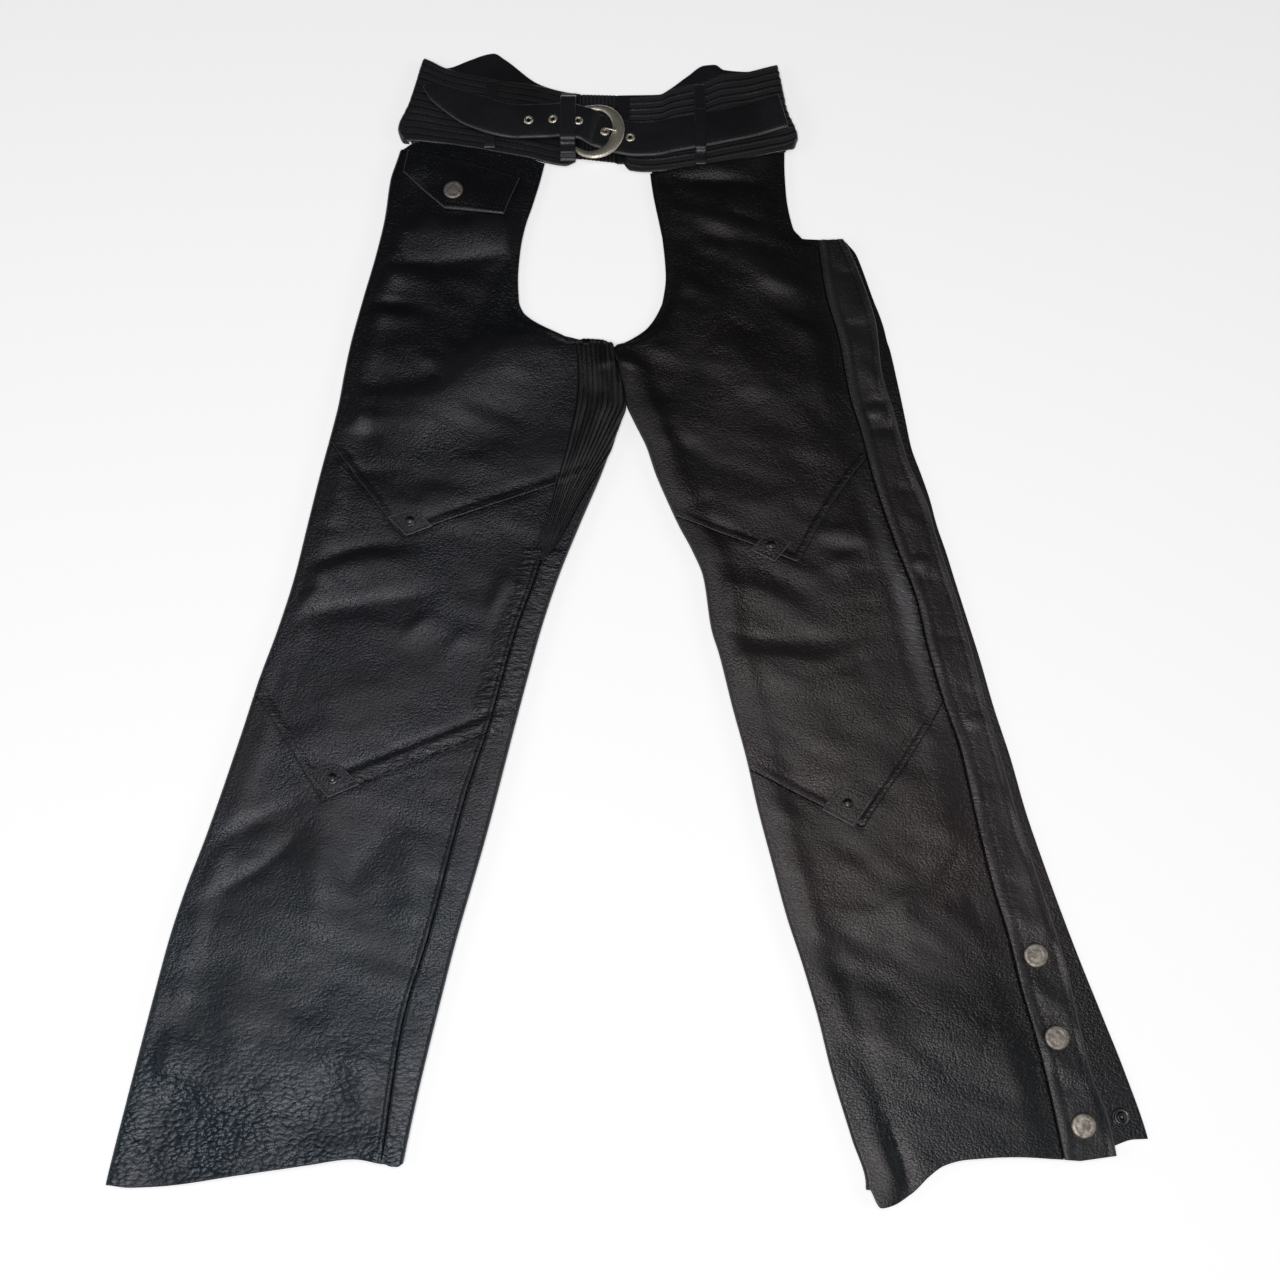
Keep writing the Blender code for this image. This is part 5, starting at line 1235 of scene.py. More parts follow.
def build_yoke(side):
    bottom, top, fold, inner_end, inward, depth, seed = YOKES[side]
    parts = steps_between(0, 1, 1 / (YOKE_RIBS * 8))[:, None]
    shares = edged_shares(160, 2.4, False, True)
    side_across = fold(parts)
    side_up = mix(bottom(side_across), top(side_across), parts)
    edge = roll_points(side_across, inward, side_up, np.append([UNDERLAP - 3, 7], ROLL_STEPS[3:]))
    across = mix(side_across + inward * ROLL, inner_end(parts), shares)
    ups = mix(bottom(across), top(across), parts)
    grid = np.concatenate([edge, spots_at(across, ups, yoke_height(side, across, ups))], axis=1)
    across, ups, z = np.moveaxis(grid, -1, 0)
    drift = 0.012 * soft_noise(across, ups, 40, 200, seed) * 4 * parts * (1 - parts)
    place = np.clip(parts + drift, 0, 1)
    uneven = depth * (1 + 0.8 * soft_noise(across, parts * 12 * 10 + 0 * across, 30, 9, seed + 1))
    on_top = ease((ROLL * 0.9 - z) / 2)
    ribs = cord_ribs(place, YOKE_RIBS, RIB_HEIGHT, 0.7) * on_top * uneven
    sag = 0.5 * soft_noise(across, ups, 34, 60, seed + 2) * on_top
    grid = grid + facing(grid) * (ribs + sag)[..., None]
    groove = np.abs(np.sin(pi * YOKE_RIBS * place))
    # Painted shade in the grooves between the cords, painted highlights on their crests.
    crevice = (0.4 + depth * 1.8) * ease(groove / 0.6)
    painted_crest_highlight = depth * 1.7 * bump_at(np.abs(groove - 0.75), 0.2)
    grid, crevice, painted_crest_highlight = (values[:, ::inward] for values in (grid, crevice, painted_crest_highlight))
    shell(f"{side}_yoke_leather", grid, YOKE_WALL, ribbed_leather, edge_wear_and_highlight=0.3, rim=painted_crest_highlight,
          crevice=crevice)


for side in YOKES:
    build_yoke(side)

# %% [markdown]
# Behind them the back yokes lie flat on the surface, and a ribbed elastic insert joins them
# at the middle of the back.

# %% Back yokes and insert


def build_back_yoke(side, inner, top):
    """A back yoke; its grid is its upper face, one wall over the surface."""
    yoke = YOKES[side]
    parts, shares = edged_shares(90, 2.2)[:, None], edged_shares(160, 2.2)
    start = yoke.fold(parts) + yoke.inward * (ROLL + UNDERLAP - 3 - QUARTER + HIDDEN_SEAM)
    across = mix(start, inner, shares)
    low = {"right": np.maximum(yoke.bottom(across), 961),
           "left": yoke.bottom(np.maximum(across, -6))}[side]
    ups = mix(low + 1.0, top(across), parts)
    z = YOKE_WALL + 0.25 * np.maximum(soft_noise(across, ups, 22, 14, 61), 0)
    shell(f"{side}_back_yoke_leather", spots_at(across, ups, z)[:, ::yoke.inward], YOKE_WALL,
          ribbed_leather, edge_wear_and_highlight=0.0)


build_back_yoke("right", -50.02, line_from("""across up, -229 1076, -207 1072, -184 1064,
    -161 1073, -143 1080, -137 1081, -126 1074, -90 1045, -61 1036, -50 1034.5"""))
build_back_yoke("left", -13.98, line_from("""across up, -14 1033, 28 1034, 39 1041, 56 1055,
    72 1067, 83 1068, 92 1062, 116 1060, 146 1064, 163 1068"""))

shares, parts = edged_shares(36, 0.5), edged_shares(74, 3.0)[:, None]
insert_ribs = np.clip((shares * 36 - 1.1) / 33.8, 0, 1)
ups = mix(mix(962, 957.5, shares), mix(1034, 1033, shares), parts)
# Painted highlights on the crests of the insert's ribs.
shell("back_waist_insert_leather",
      spots_at(mix(-50.0, -14.0, shares), ups, 1.2 + cord_ribs(insert_ribs, 9, 0.8)), 1.1,
      ribbed_leather, edge_wear_and_highlight=0.0, rim=0.5 * np.abs(np.sin(pi * 9 * insert_ribs)) ** 6)

# %% [markdown]
# The strap closes the waist. Stations along its centre line give its place, half width and
# how far it climbs over the loops and the buckle. Its cut edges are rounded over, which
# catches the light along the lower edge, and a painted highlight lightens that edge too.

# %% Strap
STRAP_WALL = 3.0
STRAP_STATIONS = rows("""across up half_width rise, -204 1037.5 2.5 .2, -199 1035 6 .2,
    -192 1031.4 10.5 .2, -181 1025.6 13.5 .2, -170 1020 16 .2, -158 1013.6 18.3 1, -149 1009 19 2.4,
    -138 1004.2 19 2.7, -127 1001 19 2.4, -116 999.2 19 1.6, -106 998.3 19 2.6, -94 998 19 3.6,
    -82 998 19 4.2, -70 997.7 19 6.6, -64 997.2 19 7.8, -58 996 18.8 8, -45 992.6 18.2 7.4,
    -38 990.6 18.2 4.4, -32 989 18.2 .9, -19 985.4 18.8 .2, -7 982 19 .2, 5 980.2 19 .2,
    20 980.4 19 .2, 38 984.4 19 .2, 55 987.8 19 .2, 72 991 19 .2, 88 994.6 19 .2, 104 998 19 .4,
    117 1001.3 19 .5, 130 1004.8 19 .5, 140 1007.4 19 .5, 149 1009.6 19 .5""")
strap_up, strap_half, strap_rise = (smooth_line([(row[0], row[k]) for row in STRAP_STATIONS])
                                    for k in (1, 2, 3))


def strap_rest(across, up):
    """The strap's top where it lies straight on the yokes' ribs."""
    right, left = yoke_height("right", across, up), yoke_height("left", across, up)
    rest = np.where(across < -54, right, np.where(across > -1, left, YOKE_LIE))
    return rest + RIB_HEIGHT + SEAM + STRAP_WALL


def strap_height(across, up):
    return strap_rest(across, up) + strap_rise(across)


def strap_grid():
    along, half = edged(-204, 149, 1.9), np.array([0.2, 0.45, 0.7, 0.86, 0.93, 0.975, 1])
    shares = np.concatenate([-half[::-1], [0], half])[:, None]
    slope = (strap_up(along + 1) - strap_up(along - 1)) / 2
    aside = spots_at(-slope, 1.0) / np.hypot(1, slope)[:, None] * strap_half(along)[:, None]
    middle = spots_at(along, strap_up(along))
    spots = middle + aside * shares[..., None]
    rest = np.maximum.reduce([strap_rest(*(middle + aside * s).T) for s in (-1, 0, 1)])
    z = rest + strap_rise(along) - np.abs(shares) ** 9
    z = z + 0.3 * soft_noise(spots[..., 0], spots[..., 1], 26, 30, 71)
    return np.concatenate([spots, z[..., None]], -1)


# Painted highlight along the strap's lower edge.
strap = shell("waist_strap_leather", strap_grid(), STRAP_WALL, strap_leather, rounding=0.36,
              edge_wear_and_highlight=0.2, rim=np.array([1.7, 1.7, 0.5] + [0] * 12)[:, None])

# %% [markdown]
# Holes are punched through the strap for its eyelets. A Boolean modifier does what the
# punch does; its result is then made plain mesh, so that nothing stays live on the piece.

# %% Punched holes
EYELET_ALONG = (-100.0, -76.0, -51.5, -25.5, -1.0)
STRAP_HOLE, PUNCH_SIDES = 2.7, 28


def settle(made):
    """Turns an object's modifiers into plain mesh."""
    depsgraph = bpy.context.evaluated_depsgraph_get()
    plain = bpy.data.meshes.new_from_object(made.evaluated_get(depsgraph))
    made.modifiers.clear()
    made.data = plain


def cut_out(made, cutters):
    """Cuts the cutters' shapes out of an object and takes the cutters away."""
    for cutter in cutters:
        hole = made.modifiers.new("hole", "BOOLEAN")
        hole.operation, hole.object = "DIFFERENCE", cutter
    settle(made)
    for cutter in cutters:
        bpy.data.objects.remove(cutter, do_unlink=True)
    print(made.name, "has", len(made.data.polygons), "faces with its holes")


def strap_seat(across):
    """A seat on the strap's top: its place in millimetres and its facing."""
    up = float(strap_up(across))
    ahead, behind = (float(strap_height(across + d, strap_up(across + d))) for d in (3, -3))
    normal = Vector(((behind - ahead) / 6, 0, 1)).normalized()
    return (across, up, float(strap_height(across, up)) + 0.1), normal


def circle(radius, sides):
    return [(radius * cos(2 * pi * k / sides), radius * sin(2 * pi * k / sides))
            for k in range(sides)]


def punch(seat, normal, sides=PUNCH_SIDES):
    """A round rod that stands through a seat."""
    turn = Vector((0, 0, 1)).rotation_difference(normal)
    points = [Vector(seat) + turn @ Vector((x, y, z)) for z in (-6.0, 4.0)
              for x, y in circle(STRAP_HOLE, sides)]
    faces = [(k, (k + 1) % sides, (k + 1) % sides + sides, k + sides) for k in range(sides)]
    faces += [tuple(reversed(range(sides))), tuple(range(sides, 2 * sides))]
    return mesh_object("punch", in_metres(points), faces, strap_leather)


cut_out(strap, [punch(*strap_seat(across)) for across in EYELET_ALONG])

# %% [markdown]
# Bands of leather are drawn as a profile over what they hold: the keeper that the strap
# runs through, the belt loops, and the chape that folds round the buckle's bar.

# %% Keeper and belt loops


def band_grid(low, high, width, profile):
    """A band of leather over its (up, height) profile, from one `across` to another."""
    path = rounded_path(profile, max(24, int((profile[-1][0] - profile[0][0]) / 1.3)))
    part = (path[:, :1] - path[0, 0]) / (path[-1, 0] - path[0, 0])
    return spots_at(mix(low, high, part) + edged(-width / 2, width / 2, 1.6), path[:, :1],
                    path[:, 1:])


LOOP_WALL = 1.4
rest = YOKE_LIE + RIB_HEIGHT + SEAM + LOOP_WALL
arm = 12.6 + LOOP_WALL
above = float(strap_height(-60, 997)) + SEAM + 1.5 + LOOP_WALL
beyond = float(strap_height(67, 991)) + SEAM + 0.2 + LOOP_WALL
BANDS = {
    "strap_keeper": (-61.5, -61.5, 15, [
        (956, rest), (958.5, rest + 0.6), (961.5, arm), (970, arm + 0.6), (974.5, above - 0.6),
        (980, above), (997, above + 0.3), (1014, above), (1019.5, above - 0.8), (1024.5, arm),
        (1029, rest + 0.6), (1032, rest)]),
    "left_belt_loop": (68, 67, 10.5, [
        (953, rest), (962, rest), (966.5, rest + 0.6), (970, beyond), (990, beyond + 0.2),
        (1011, beyond), (1015, rest + 0.6), (1020, rest), (1042, rest)]),
    "right_belt_loop": (-138, -138, 11, [(up, rest) for up in (971, 985, 1010, 1030, 1046)]),
}
for name, measures in BANDS.items():
    grid = band_grid(*measures)
    # Painted highlight at each band's lower end, where it bends down.
    shell(f"{name}_leather", grid, LOOP_WALL, strap_leather, edge_wear_and_highlight=0.05,
          rim=0.5 * ease((grid[..., 1] - grid[0, 0, 1]) / 7))

# %% [markdown]
# ## Buckle
# The frame is cast: thin at the hidden bar and broad at its bow. Half of it is a table of
# stations; the other half is the mirror of it. A ring of points is swept round them.

# %% Buckle frame
BUCKLE_CENTRE, BUCKLE_TURN, BUCKLE_THICKNESS = (-33.0, 985.6), radians(-16), 3.3
BAR_RADIUS, PRONG_RADIUS = 1.4, 1.0
BUCKLE_STATIONS = rows("""along aside half_width height, 20.2 0 6.1 12.3, 19.6 6.6 6 12.3,
    17.4 13.2 5.7 12.3, 13.1 19.2 5.2 12.2, 7.2 23.8 4.5 12, .5 26.2 3.8 11.5, -6.5 26.1 3.2 10.8,
    -13.5 24.3 2.7 10.3, -20.5 21.6 2.3 9.9, -25.3 18.4 1.9 9.7, -27.4 13.6 1.5 9.6,
    -27.5 5 1.4 9.6""")


def buckle_spot(along, aside):
    """The across and up of a point that is given in the buckle's own turned plan."""
    return (BUCKLE_CENTRE[0] + along * cos(BUCKLE_TURN) - aside * sin(BUCKLE_TURN),
            BUCKLE_CENTRE[1] + along * sin(BUCKLE_TURN) + aside * cos(BUCKLE_TURN))


def closed_curve(values, steps):
    """Points on a smooth closed curve through the rows of a table."""
    before, after, beyond = (np.roll(values, -k, axis=0) for k in (-1, 1, 2))
    t = np.arange(steps)[:, None, None] / steps
    curve = 0.5 * (2 * values + (after - before) * t
                   + (2 * before - 5 * values + 4 * after - beyond) * t ** 2
                   + (3 * values - before - 3 * after + beyond) * t ** 3)
    return curve.transpose(1, 0, 2).reshape(-1, values.shape[1])


def build_buckle(sides=20):
    mirrored = [[along, -aside, *sizes] for along, aside, *sizes in BUCKLE_STATIONS[:0:-1]]
    outline = closed_curve(np.array(BUCKLE_STATIONS + mirrored), 5)
    run = (np.roll(outline, -1, axis=0) - np.roll(outline, 1, axis=0))[:, :2]
    x, y = (run / np.linalg.norm(run, axis=1, keepdims=True)).T[..., None]
    along, aside, half_width, height = outline.T[..., None]
    broad = np.clip((half_width - 1.4) / 2.5, 0, 1)
    turn = 2 * pi * (np.arange(sides) + 0.5) / sides
    flattened = 1 - 0.12 * broad * np.abs(np.sin(turn)) ** 6
    thick = mix(BAR_RADIUS, BUCKLE_THICKNESS / 2, broad) * flattened
    out = half_width * np.cos(turn)
    points = spots_at(*buckle_spot(along + out * y, aside - out * x), height + thick * np.sin(turn))
    index = np.arange(len(outline) * sides).reshape(-1, sides)
    onward = np.roll(index, -1, axis=0)
    faces = np.stack([index, onward, np.roll(onward, -1, axis=1), np.roll(index, -1, axis=1)], -1)
    return mesh_object("buckle_frame_cast", in_metres(points.reshape(-1, 3)),
                       faces.reshape(-1, 4), silver)


buckle = build_buckle()
print("buckle faces", len(buckle.data.polygons))

# %% [markdown]
# The prong hooks round the bar, passes under the strap, comes up through its hole and rests
# on the bow. A Curve object with a round bevel draws such wire; it is made mesh at the end.

# %% Prong and chape
CHAPE_WALL, CHAPE_HALF_WIDTH = 1.2, 12.5
bar_along, bar_height = BUCKLE_STATIONS[-1][0], BUCKLE_STATIONS[-1][3]
bow_along, bow_height = BUCKLE_STATIONS[0][0], BUCKLE_STATIONS[0][3]


def prong_hole():
    """The strap hole that the prong stands in, in the buckle's plan."""
    across = EYELET_ALONG[3] - BUCKLE_CENTRE[0]
    up = float(strap_up(EYELET_ALONG[3])) - BUCKLE_CENTRE[1]
    return (across * cos(BUCKLE_TURN) + up * sin(BUCKLE_TURN),
            up * cos(BUCKLE_TURN) - across * sin(BUCKLE_TURN))


def arc(along, height, radius, turns):
    """Points on an arc in a plane that stands along the buckle; turns are in degrees."""
    return [(along + radius * cos(radians(t)), height + radius * sin(radians(t))) for t in turns]


def build_prong():
    hole_along, hole_aside = prong_hole()
    loop, low, bend = BAR_RADIUS + 0.25 + PRONG_RADIUS, 4.6, 2.4
    high = bow_height + BUCKLE_THICKNESS / 2 + SEAM + PRONG_RADIUS
    route = arc(bar_along, bar_height, loop, range(50, 271, 20))
    route += [(bar_along + 7, bar_height - loop - 0.1), (bar_along + 14, low + 0.6)]
    route += arc(hole_along - bend, low + bend, bend, (-90, -68, -45, -23, 0))
    route += arc(hole_along + bend, high - bend, bend, (180, 158, 135, 113, 90))
    route += [(bow_along - 5, high + 0.1), (bow_along - 1.5, high)]
    line = bpy.data.curves.new("buckle_prong_wire", "CURVE")
    line.dimensions, line.bevel_depth, line.bevel_resolution = "3D", PRONG_RADIUS * MM, 4
    line.use_fill_caps = True
    spline = line.splines.new("POLY")
    spline.points.add(len(route) - 1)
    for point, (along, z) in zip(spline.points, route):
        point.co = (*in_metres((*buckle_spot(along, hole_aside), z)), 1)
    line.materials.append(silver)
    wire = add_object("wire", line)
    mesh = bpy.data.meshes.new_from_object(
        wire.evaluated_get(bpy.context.evaluated_depsgraph_get()))
    mesh.shade_smooth()
    bpy.data.objects.remove(wire, do_unlink=True)
    return add_object("buckle_prong_wire", mesh)


def build_chape():
    radius, low = BAR_RADIUS + SEAM + CHAPE_WALL, YOKE_LIE + RIB_HEIGHT + SEAM
    high = low + 2 * CHAPE_WALL + SEAM
    route = [(-61, low), (-48, low), (-36, low), (bar_along - 1, bar_height - radius)]
    route += arc(bar_along, bar_height, radius, (-60, -40, -20, 0, 20, 40, 60, 90))
    route += [(-31.5, bar_height + radius - 0.6), (-37.5, high + 0.8), (-48, high), (-61, high)]
    path = rounded_path(route, 70)
    asides = edged(-CHAPE_HALF_WIDTH, CHAPE_HALF_WIDTH, 1.8)[::-1, None]
    chape = shell("buckle_chape_leather", spots_at(*buckle_spot(path[:, 0], asides), path[:, 1]),
                  CHAPE_WALL, strap_leather, edge_wear_and_highlight=0.2)
    corners = [buckle_spot(-25 + a * 8, prong_hole()[1] + s * 1.7)
               for a, s in ((-1, -1), (1, -1), (1, 1), (-1, 1))]
    box = [(*corner, bar_height + z) for z in (-6, 6) for corner in corners]
    faces = [(3, 2, 1, 0), (4, 5, 6, 7), (0, 1, 5, 4), (1, 2, 6, 5), (2, 3, 7, 6), (3, 0, 4, 7)]
    cut_out(chape, [mesh_object("slot_cutter", in_metres(box), faces, strap_leather)])


prong = build_prong()
build_chape()

# %% [markdown]
# ## Fittings
# Snaps, rivets and eyelets repeat, so each kind is turned once on its axis, as on a lathe,
# and Geometry Nodes set a copy on every point of a small mesh. Each point knows which way
# its seat faces. Realize Instances turns the copies into real mesh.

# %% Turned masters


def turned(name, look, sides, profile):
    """A lathe-turned fitting from a (radius, height) profile, run from its crown outwards."""
    profile, rings, points, faces = rows(profile), [], [], []
    for radius, height in profile:
        ring = [(x, y, height) for x, y in circle(radius, sides if radius else 1)]
        rings.append(range(len(points), len(points) + len(ring)))
        points += ring
    closing = rings[:1] if profile[0][0] else []
    for inner, outer in zip(rings, rings[1:] + closing):
        for k, m in zip(range(sides), [*range(1, sides), 0]):
            corners = (inner[k % len(inner)], outer[k % len(outer)],
                       outer[m % len(outer)], inner[m % len(inner)])
            faces.append(list(dict.fromkeys(corners)))
    return mesh_object(name, np.array(points) * MM, faces, look)


masters = {
    "snap": turned("snap_master", nickel, 48, """radius height, 0 2.86, 2.5 2.85, 4.6 2.78, 5.2 2.7,
        5.6 2.66, 6 2.7, 6.5 2.78, 7.8 2.75, 8.9 2.6, 9.7 2.2, 10.1 1.5, 10.1 .7, 9.6 0, 0 0"""),
    "rivet": turned("rivet_master", gunmetal, 28, """radius height, 0 2.3, 1.4 2.25, 2.6 1.95,
        3.3 1.4, 3.6 .75, 3.9 .62, 4.5 .6, 4.8 .35, 4.7 0, 0 0"""),
    "eyelet": turned("eyelet_master", silver, 36, """radius height, 2.1 .9, 2.5 1.2, 3.1 1.3,
        3.8 1.2, 4.4 .85, 4.75 .35, 4.8 .1, 2.45 .05, 2.4 -2.4, 2.1 -2.4"""),
    "socket": turned("socket_master", gunmetal, 36, """radius height, 0 .9, 1.7 .9, 2 1.3, 2.1 2.6,
        2.5 3, 3.2 3, 3.6 2.6, 3.9 1.4, 4.4 .95, 5.6 1, 6.3 1.35, 6.9 1.2, 7.35 .5, 7.3 0, 0 0"""),
}
print("masters:", list(masters))

# %% Geometry Nodes: fittings on their seats


class Tool(Graph):
    """A Geometry Nodes tree with a geometry in and out, and the named inputs between."""

    def __init__(self, name, **kinds):
        super().__init__(bpy.data.node_groups.new(name, "GeometryNodeTree"))
        self.ids = {}
        for label, kind in {"Geometry": "Geometry", **kinds}.items():
            label = label.replace("_", " ")
            self.ids[label] = self.tree.interface.new_socket(
                label, in_out="INPUT", socket_type="NodeSocket" + kind).identifier
        self.tree.interface.new_socket("Geometry", in_out="OUTPUT",
                                       socket_type="NodeSocketGeometry")
        self.given = self.nodes.new("NodeGroupInput").outputs

    def close(self, instances, look):
        """Ends the tree in Realize Instances and Set Material."""
        real = self.add("GeometryNodeRealizeInstances", {"Geometry": instances})
        made = self.add("GeometryNodeSetMaterial", {"Geometry": real, "Material": look})
        self.fill(self.nodes.new("NodeGroupOutput"), {"Geometry": made})
        print("tree ready:", self.tree.name)

    def run(self, made, **values):
        """Sets the inputs by their identifiers, runs the tree, and keeps its result as mesh."""
        step = made.modifiers.new(self.tree.name, "NODES")
        step.node_group = self.tree
        for label, value in values.items():
            step[self.ids[label.replace("_", " ")]] = value
        settle(made)
        print(made.name, "faces", len(made.data.polygons))
        return made


fitter = Tool("fittings on their seats", Fitting="Object", Finish="Material", Size="Float")
seat_facing = fitter.add("GeometryNodeInputNamedAttribute", {"Name": "facing"}, "Attribute",
                         data_type="FLOAT_VECTOR")
fitter.close(fitter.add("GeometryNodeInstanceOnPoints", {
    "Points": fitter.given["Geometry"], "Scale": fitter.given["Size"],
    "Instance": fitter.add("GeometryNodeObjectInfo", {"Object": fitter.given["Fitting"]},
                           "Geometry"),
    "Rotation": fitter.add("FunctionNodeAlignRotationToVector", {"Vector": seat_facing},
                           axis="Z")}), fitter.given["Finish"])

# %% [markdown]
# A snap cap carries a milled ring: small beads round its rim. A second tree sets beads on a
# circle and joins them to the cap, so their number and size stay adjustable.

# %% Geometry Nodes: beaded ring
beader = Tool("beaded ring", Beads="Int", Ring_radius="Float", Bead_radius="Float",
              Height="Float", Finish="Material")
given = beader.given
ring = beader.add("GeometryNodeMeshCircle", {"Vertices": given["Beads"],
                                             "Radius": given["Ring radius"]})
height = beader.add("ShaderNodeCombineXYZ", {"Z": given["Height"]})
raised = beader.add("GeometryNodeSetPosition", {"Geometry": ring, "Offset": height})
bead = beader.add("GeometryNodeMeshUVSphere", {"Segments": 8, "Rings": 5,
                                               "Radius": given["Bead radius"]})
smooth_bead = beader.add("GeometryNodeSetShadeSmooth", {"Geometry": bead})
beads = beader.add("GeometryNodeInstanceOnPoints", {"Points": raised, "Instance": smooth_bead})
beader.close(beader.add("GeometryNodeJoinGeometry", {"Geometry": [given["Geometry"], beads]}),
             given["Finish"])
beader.run(masters["snap"], Beads=34, Ring_radius=0.0072, Bead_radius=0.0004, Height=0.0026,
           Finish=nickel)

# %% Seats and placing


def surface_seat(height_at, across, up, reach, lift):
    """A seat on a surface: its place and facing, from four points round it."""
    east, west, north, south = (float(height_at(across + x, up + y)) for x, y in
                                ((reach, 0), (-reach, 0), (0, reach), (0, -reach)))
    normal = Vector(((west - east) / (2 * reach), (south - north) / (2 * reach), 1)).normalized()
    z = max(float(height_at(across, up)), (east + west) / 2, (north + south) / 2)
    return (across, up, z + lift), normal


def place_fittings(name, kind, look, seats, size=1.0):
    """One piece with a copy of a turned fitting on each seat."""
    made = mesh_object(name, in_metres([place for place, _ in seats]))
    turned_to = made.data.attributes.new("facing", "FLOAT_VECTOR", "POINT")
    turned_to.data.foreach_set("vector", np.array([list(n) for _, n in seats], np.float32).ravel())
    fitter.run(made, Fitting=masters[kind], Finish=look, Size=size)
    made.data.shade_smooth()
    return made


placket_snaps = place_fittings("placket_snaps", "snap", nickel, [
    surface_seat(placket_height, *spot, 9, 0.25)
    for spot in ((371, 63.5), (354.3, 133), (341.5, 200))])
pocket_snap = place_fittings("pocket_snap_cap", "snap", nickel,
                             [surface_seat(flap_top, -171, 922, 9, 0.35)], 0.93)
panel_rivets = place_fittings("panel_rivets", "rivet", gunmetal, [
    surface_seat(lambda x, y: patch_top(patch, x, y), *patch_point(patch, 0.5, 0.5), 5.0, 0.1)
    for patch in PATCHES])
strap_eyelets = place_fittings("strap_eyelets", "eyelet", silver,
                               [strap_seat(across) for across in EYELET_ALONG])
hem_socket = place_fittings("hem_snap_socket", "socket", gunmetal,
                            [((403.5, 70.0, LEATHER + 0.35), (0, 0, 1))])
for master in masters.values():
    bpy.data.objects.remove(master, do_unlink=True)

# %% [markdown]
# ## Stitching
# Every seam is a line of points laid on the leather. Geometry Nodes turn it into a curve,
# divide it by the stitch pitch, and set one short flattened stitch on each division, turned
# along the seam.

# %% Geometry Nodes: stitches along a seam
sewer = Tool("stitches along a seam", Pitch="Float", Stitch_length="Float",
             Thread_radius="Float", Thread="Material")
given = sewer.given
seam = sewer.add("GeometryNodeMeshToCurve", {"Mesh": given["Geometry"]})
divided = sewer.add("GeometryNodeResampleCurve", {"Curve": seam, "Length": given["Pitch"]},
                    mode="LENGTH")
lie_along = sewer.add("FunctionNodeAlignRotationToVector",
                      {"Vector": sewer.add("GeometryNodeInputTangent")}, axis="X")
stitch_size = sewer.add("ShaderNodeCombineXYZ", {
    "X": sewer.maths("MULTIPLY", given["Stitch length"], 0.5), "Y": given["Thread radius"],
    "Z": sewer.maths("MULTIPLY", given["Thread radius"], 0.75)})
blob = sewer.add("GeometryNodeMeshUVSphere", {"Segments": 6, "Rings": 3, "Radius": 1.0})
smooth_blob = sewer.add("GeometryNodeSetShadeSmooth", {"Geometry": blob})
sewer.close(sewer.add("GeometryNodeInstanceOnPoints", {
    "Points": divided, "Instance": smooth_blob, "Rotation": lie_along, "Scale": stitch_size}),
    given["Thread"])

# %% [markdown]
# The seam lines follow the same height as the leather, so the stitches rest in it.

# %% Seam lines


def sew(name, lines, pitch=3.6):
    """Sews all lines of one piece: each line is an array of points in millimetres."""
    last = set(np.cumsum([len(line) for line in lines]) - 1)
    edges = [(k, k + 1) for k in range(max(last)) if k not in last]
    made = mesh_object(name, in_metres(np.concatenate(lines)), edges=edges)
    return sewer.run(made, Pitch=pitch * MM, Stitch_length=pitch * 0.75 * MM,
                     Thread_radius=0.36 * MM, Thread=thread)


def on_front(side, across, up):
    return spots_at(across, up, front_height(side, across, up) + 0.12)


def vee_stitches(side, which, over, arms):
    """Lines over a V seam, along its outer arm (0) and its inner arm (1)."""
    vee = VEES[side, which]
    for arm in arms:
        low, high = ((0.01, vee.tip_share), (vee.tip_share, 0.985))[arm]
        shares = steps_between(low, high, 0.012)
        ups = vee_line(vee)(shares) + over
        yield on_front(side, mix(*front_ends(side, ups), shares), ups)


leg_lines = {"right": [], "left": []}
for which in ("upper", "lower"):
    for side, lines in leg_lines.items():
        strip = VEES[side, which].turned
        for over, arms in ((1.4, (0, 1)), (strip + 0.8, (1,)), (min(strip, 6.5) + 0.8, (0,))):
            lines += vee_stitches(side, which, over, arms)
for side, edge, aside, low, high in (
        ("right", right_front_end, -4.9, 40, 543), ("right", right_front_end, 2.1, 40, 543),
        ("right", right_front_end, -2.0, 552, 758), ("right", right_front_end, -5.0, 792, 950),
        ("left", left_inner, 5.0, 800, 940), ("left", placket_seam, -2.4, 44, 866)):
    ups = steps_between(low, high, 3.0)
    leg_lines[side].append(on_front(side, edge(ups) + aside, ups))
ups = steps_between(44, 866, 3.0)
for across in (placket_seam(ups) + 10.5, placket_edge(ups) - 6.5):
    leg_lines["left"].append(spots_at(across, ups, placket_height(across, ups) + 0.12))
sewing = [sew(f"{side}_leg_stitches", lines) for side, lines in leg_lines.items()]

# %% Stitches on the flap, patches and yokes


def ring_lines(corners, count, spots_on):
    """Lines along the sides of an outline that is given in shares of a piece's sides."""
    t = np.linspace(0, 1, count)
    for (a, b), (c, d) in zip(corners, corners[1:] + corners[:1]):
        yield spots_on(mix(a, c, t), mix(b, d, t))


def on_patch(patch, a, b):
    across, ups = patch_point(patch, a, b)
    return spots_at(across, ups, patch_top(patch, across, ups) - 0.15)


flap_corners = [(0.05, 0.12), (0.42, 0.115), (0.95, 0.1), (0.95, 0.93), (0.05, 0.93)]
small_lines = list(ring_lines(flap_corners, 26, lambda a, b: flap_spots(a, b, -0.1)))
for patch in PATCHES:
    near, far = 3.0 / patch.side, 1 - 3.0 / patch.side
    small_lines += ring_lines([(near, near), (near, far), (far, far), (far, near)], 14,
                              lambda a, b: on_patch(patch, a, b))
sewing.append(sew("patch_and_flap_stitches", small_lines, 3.0))

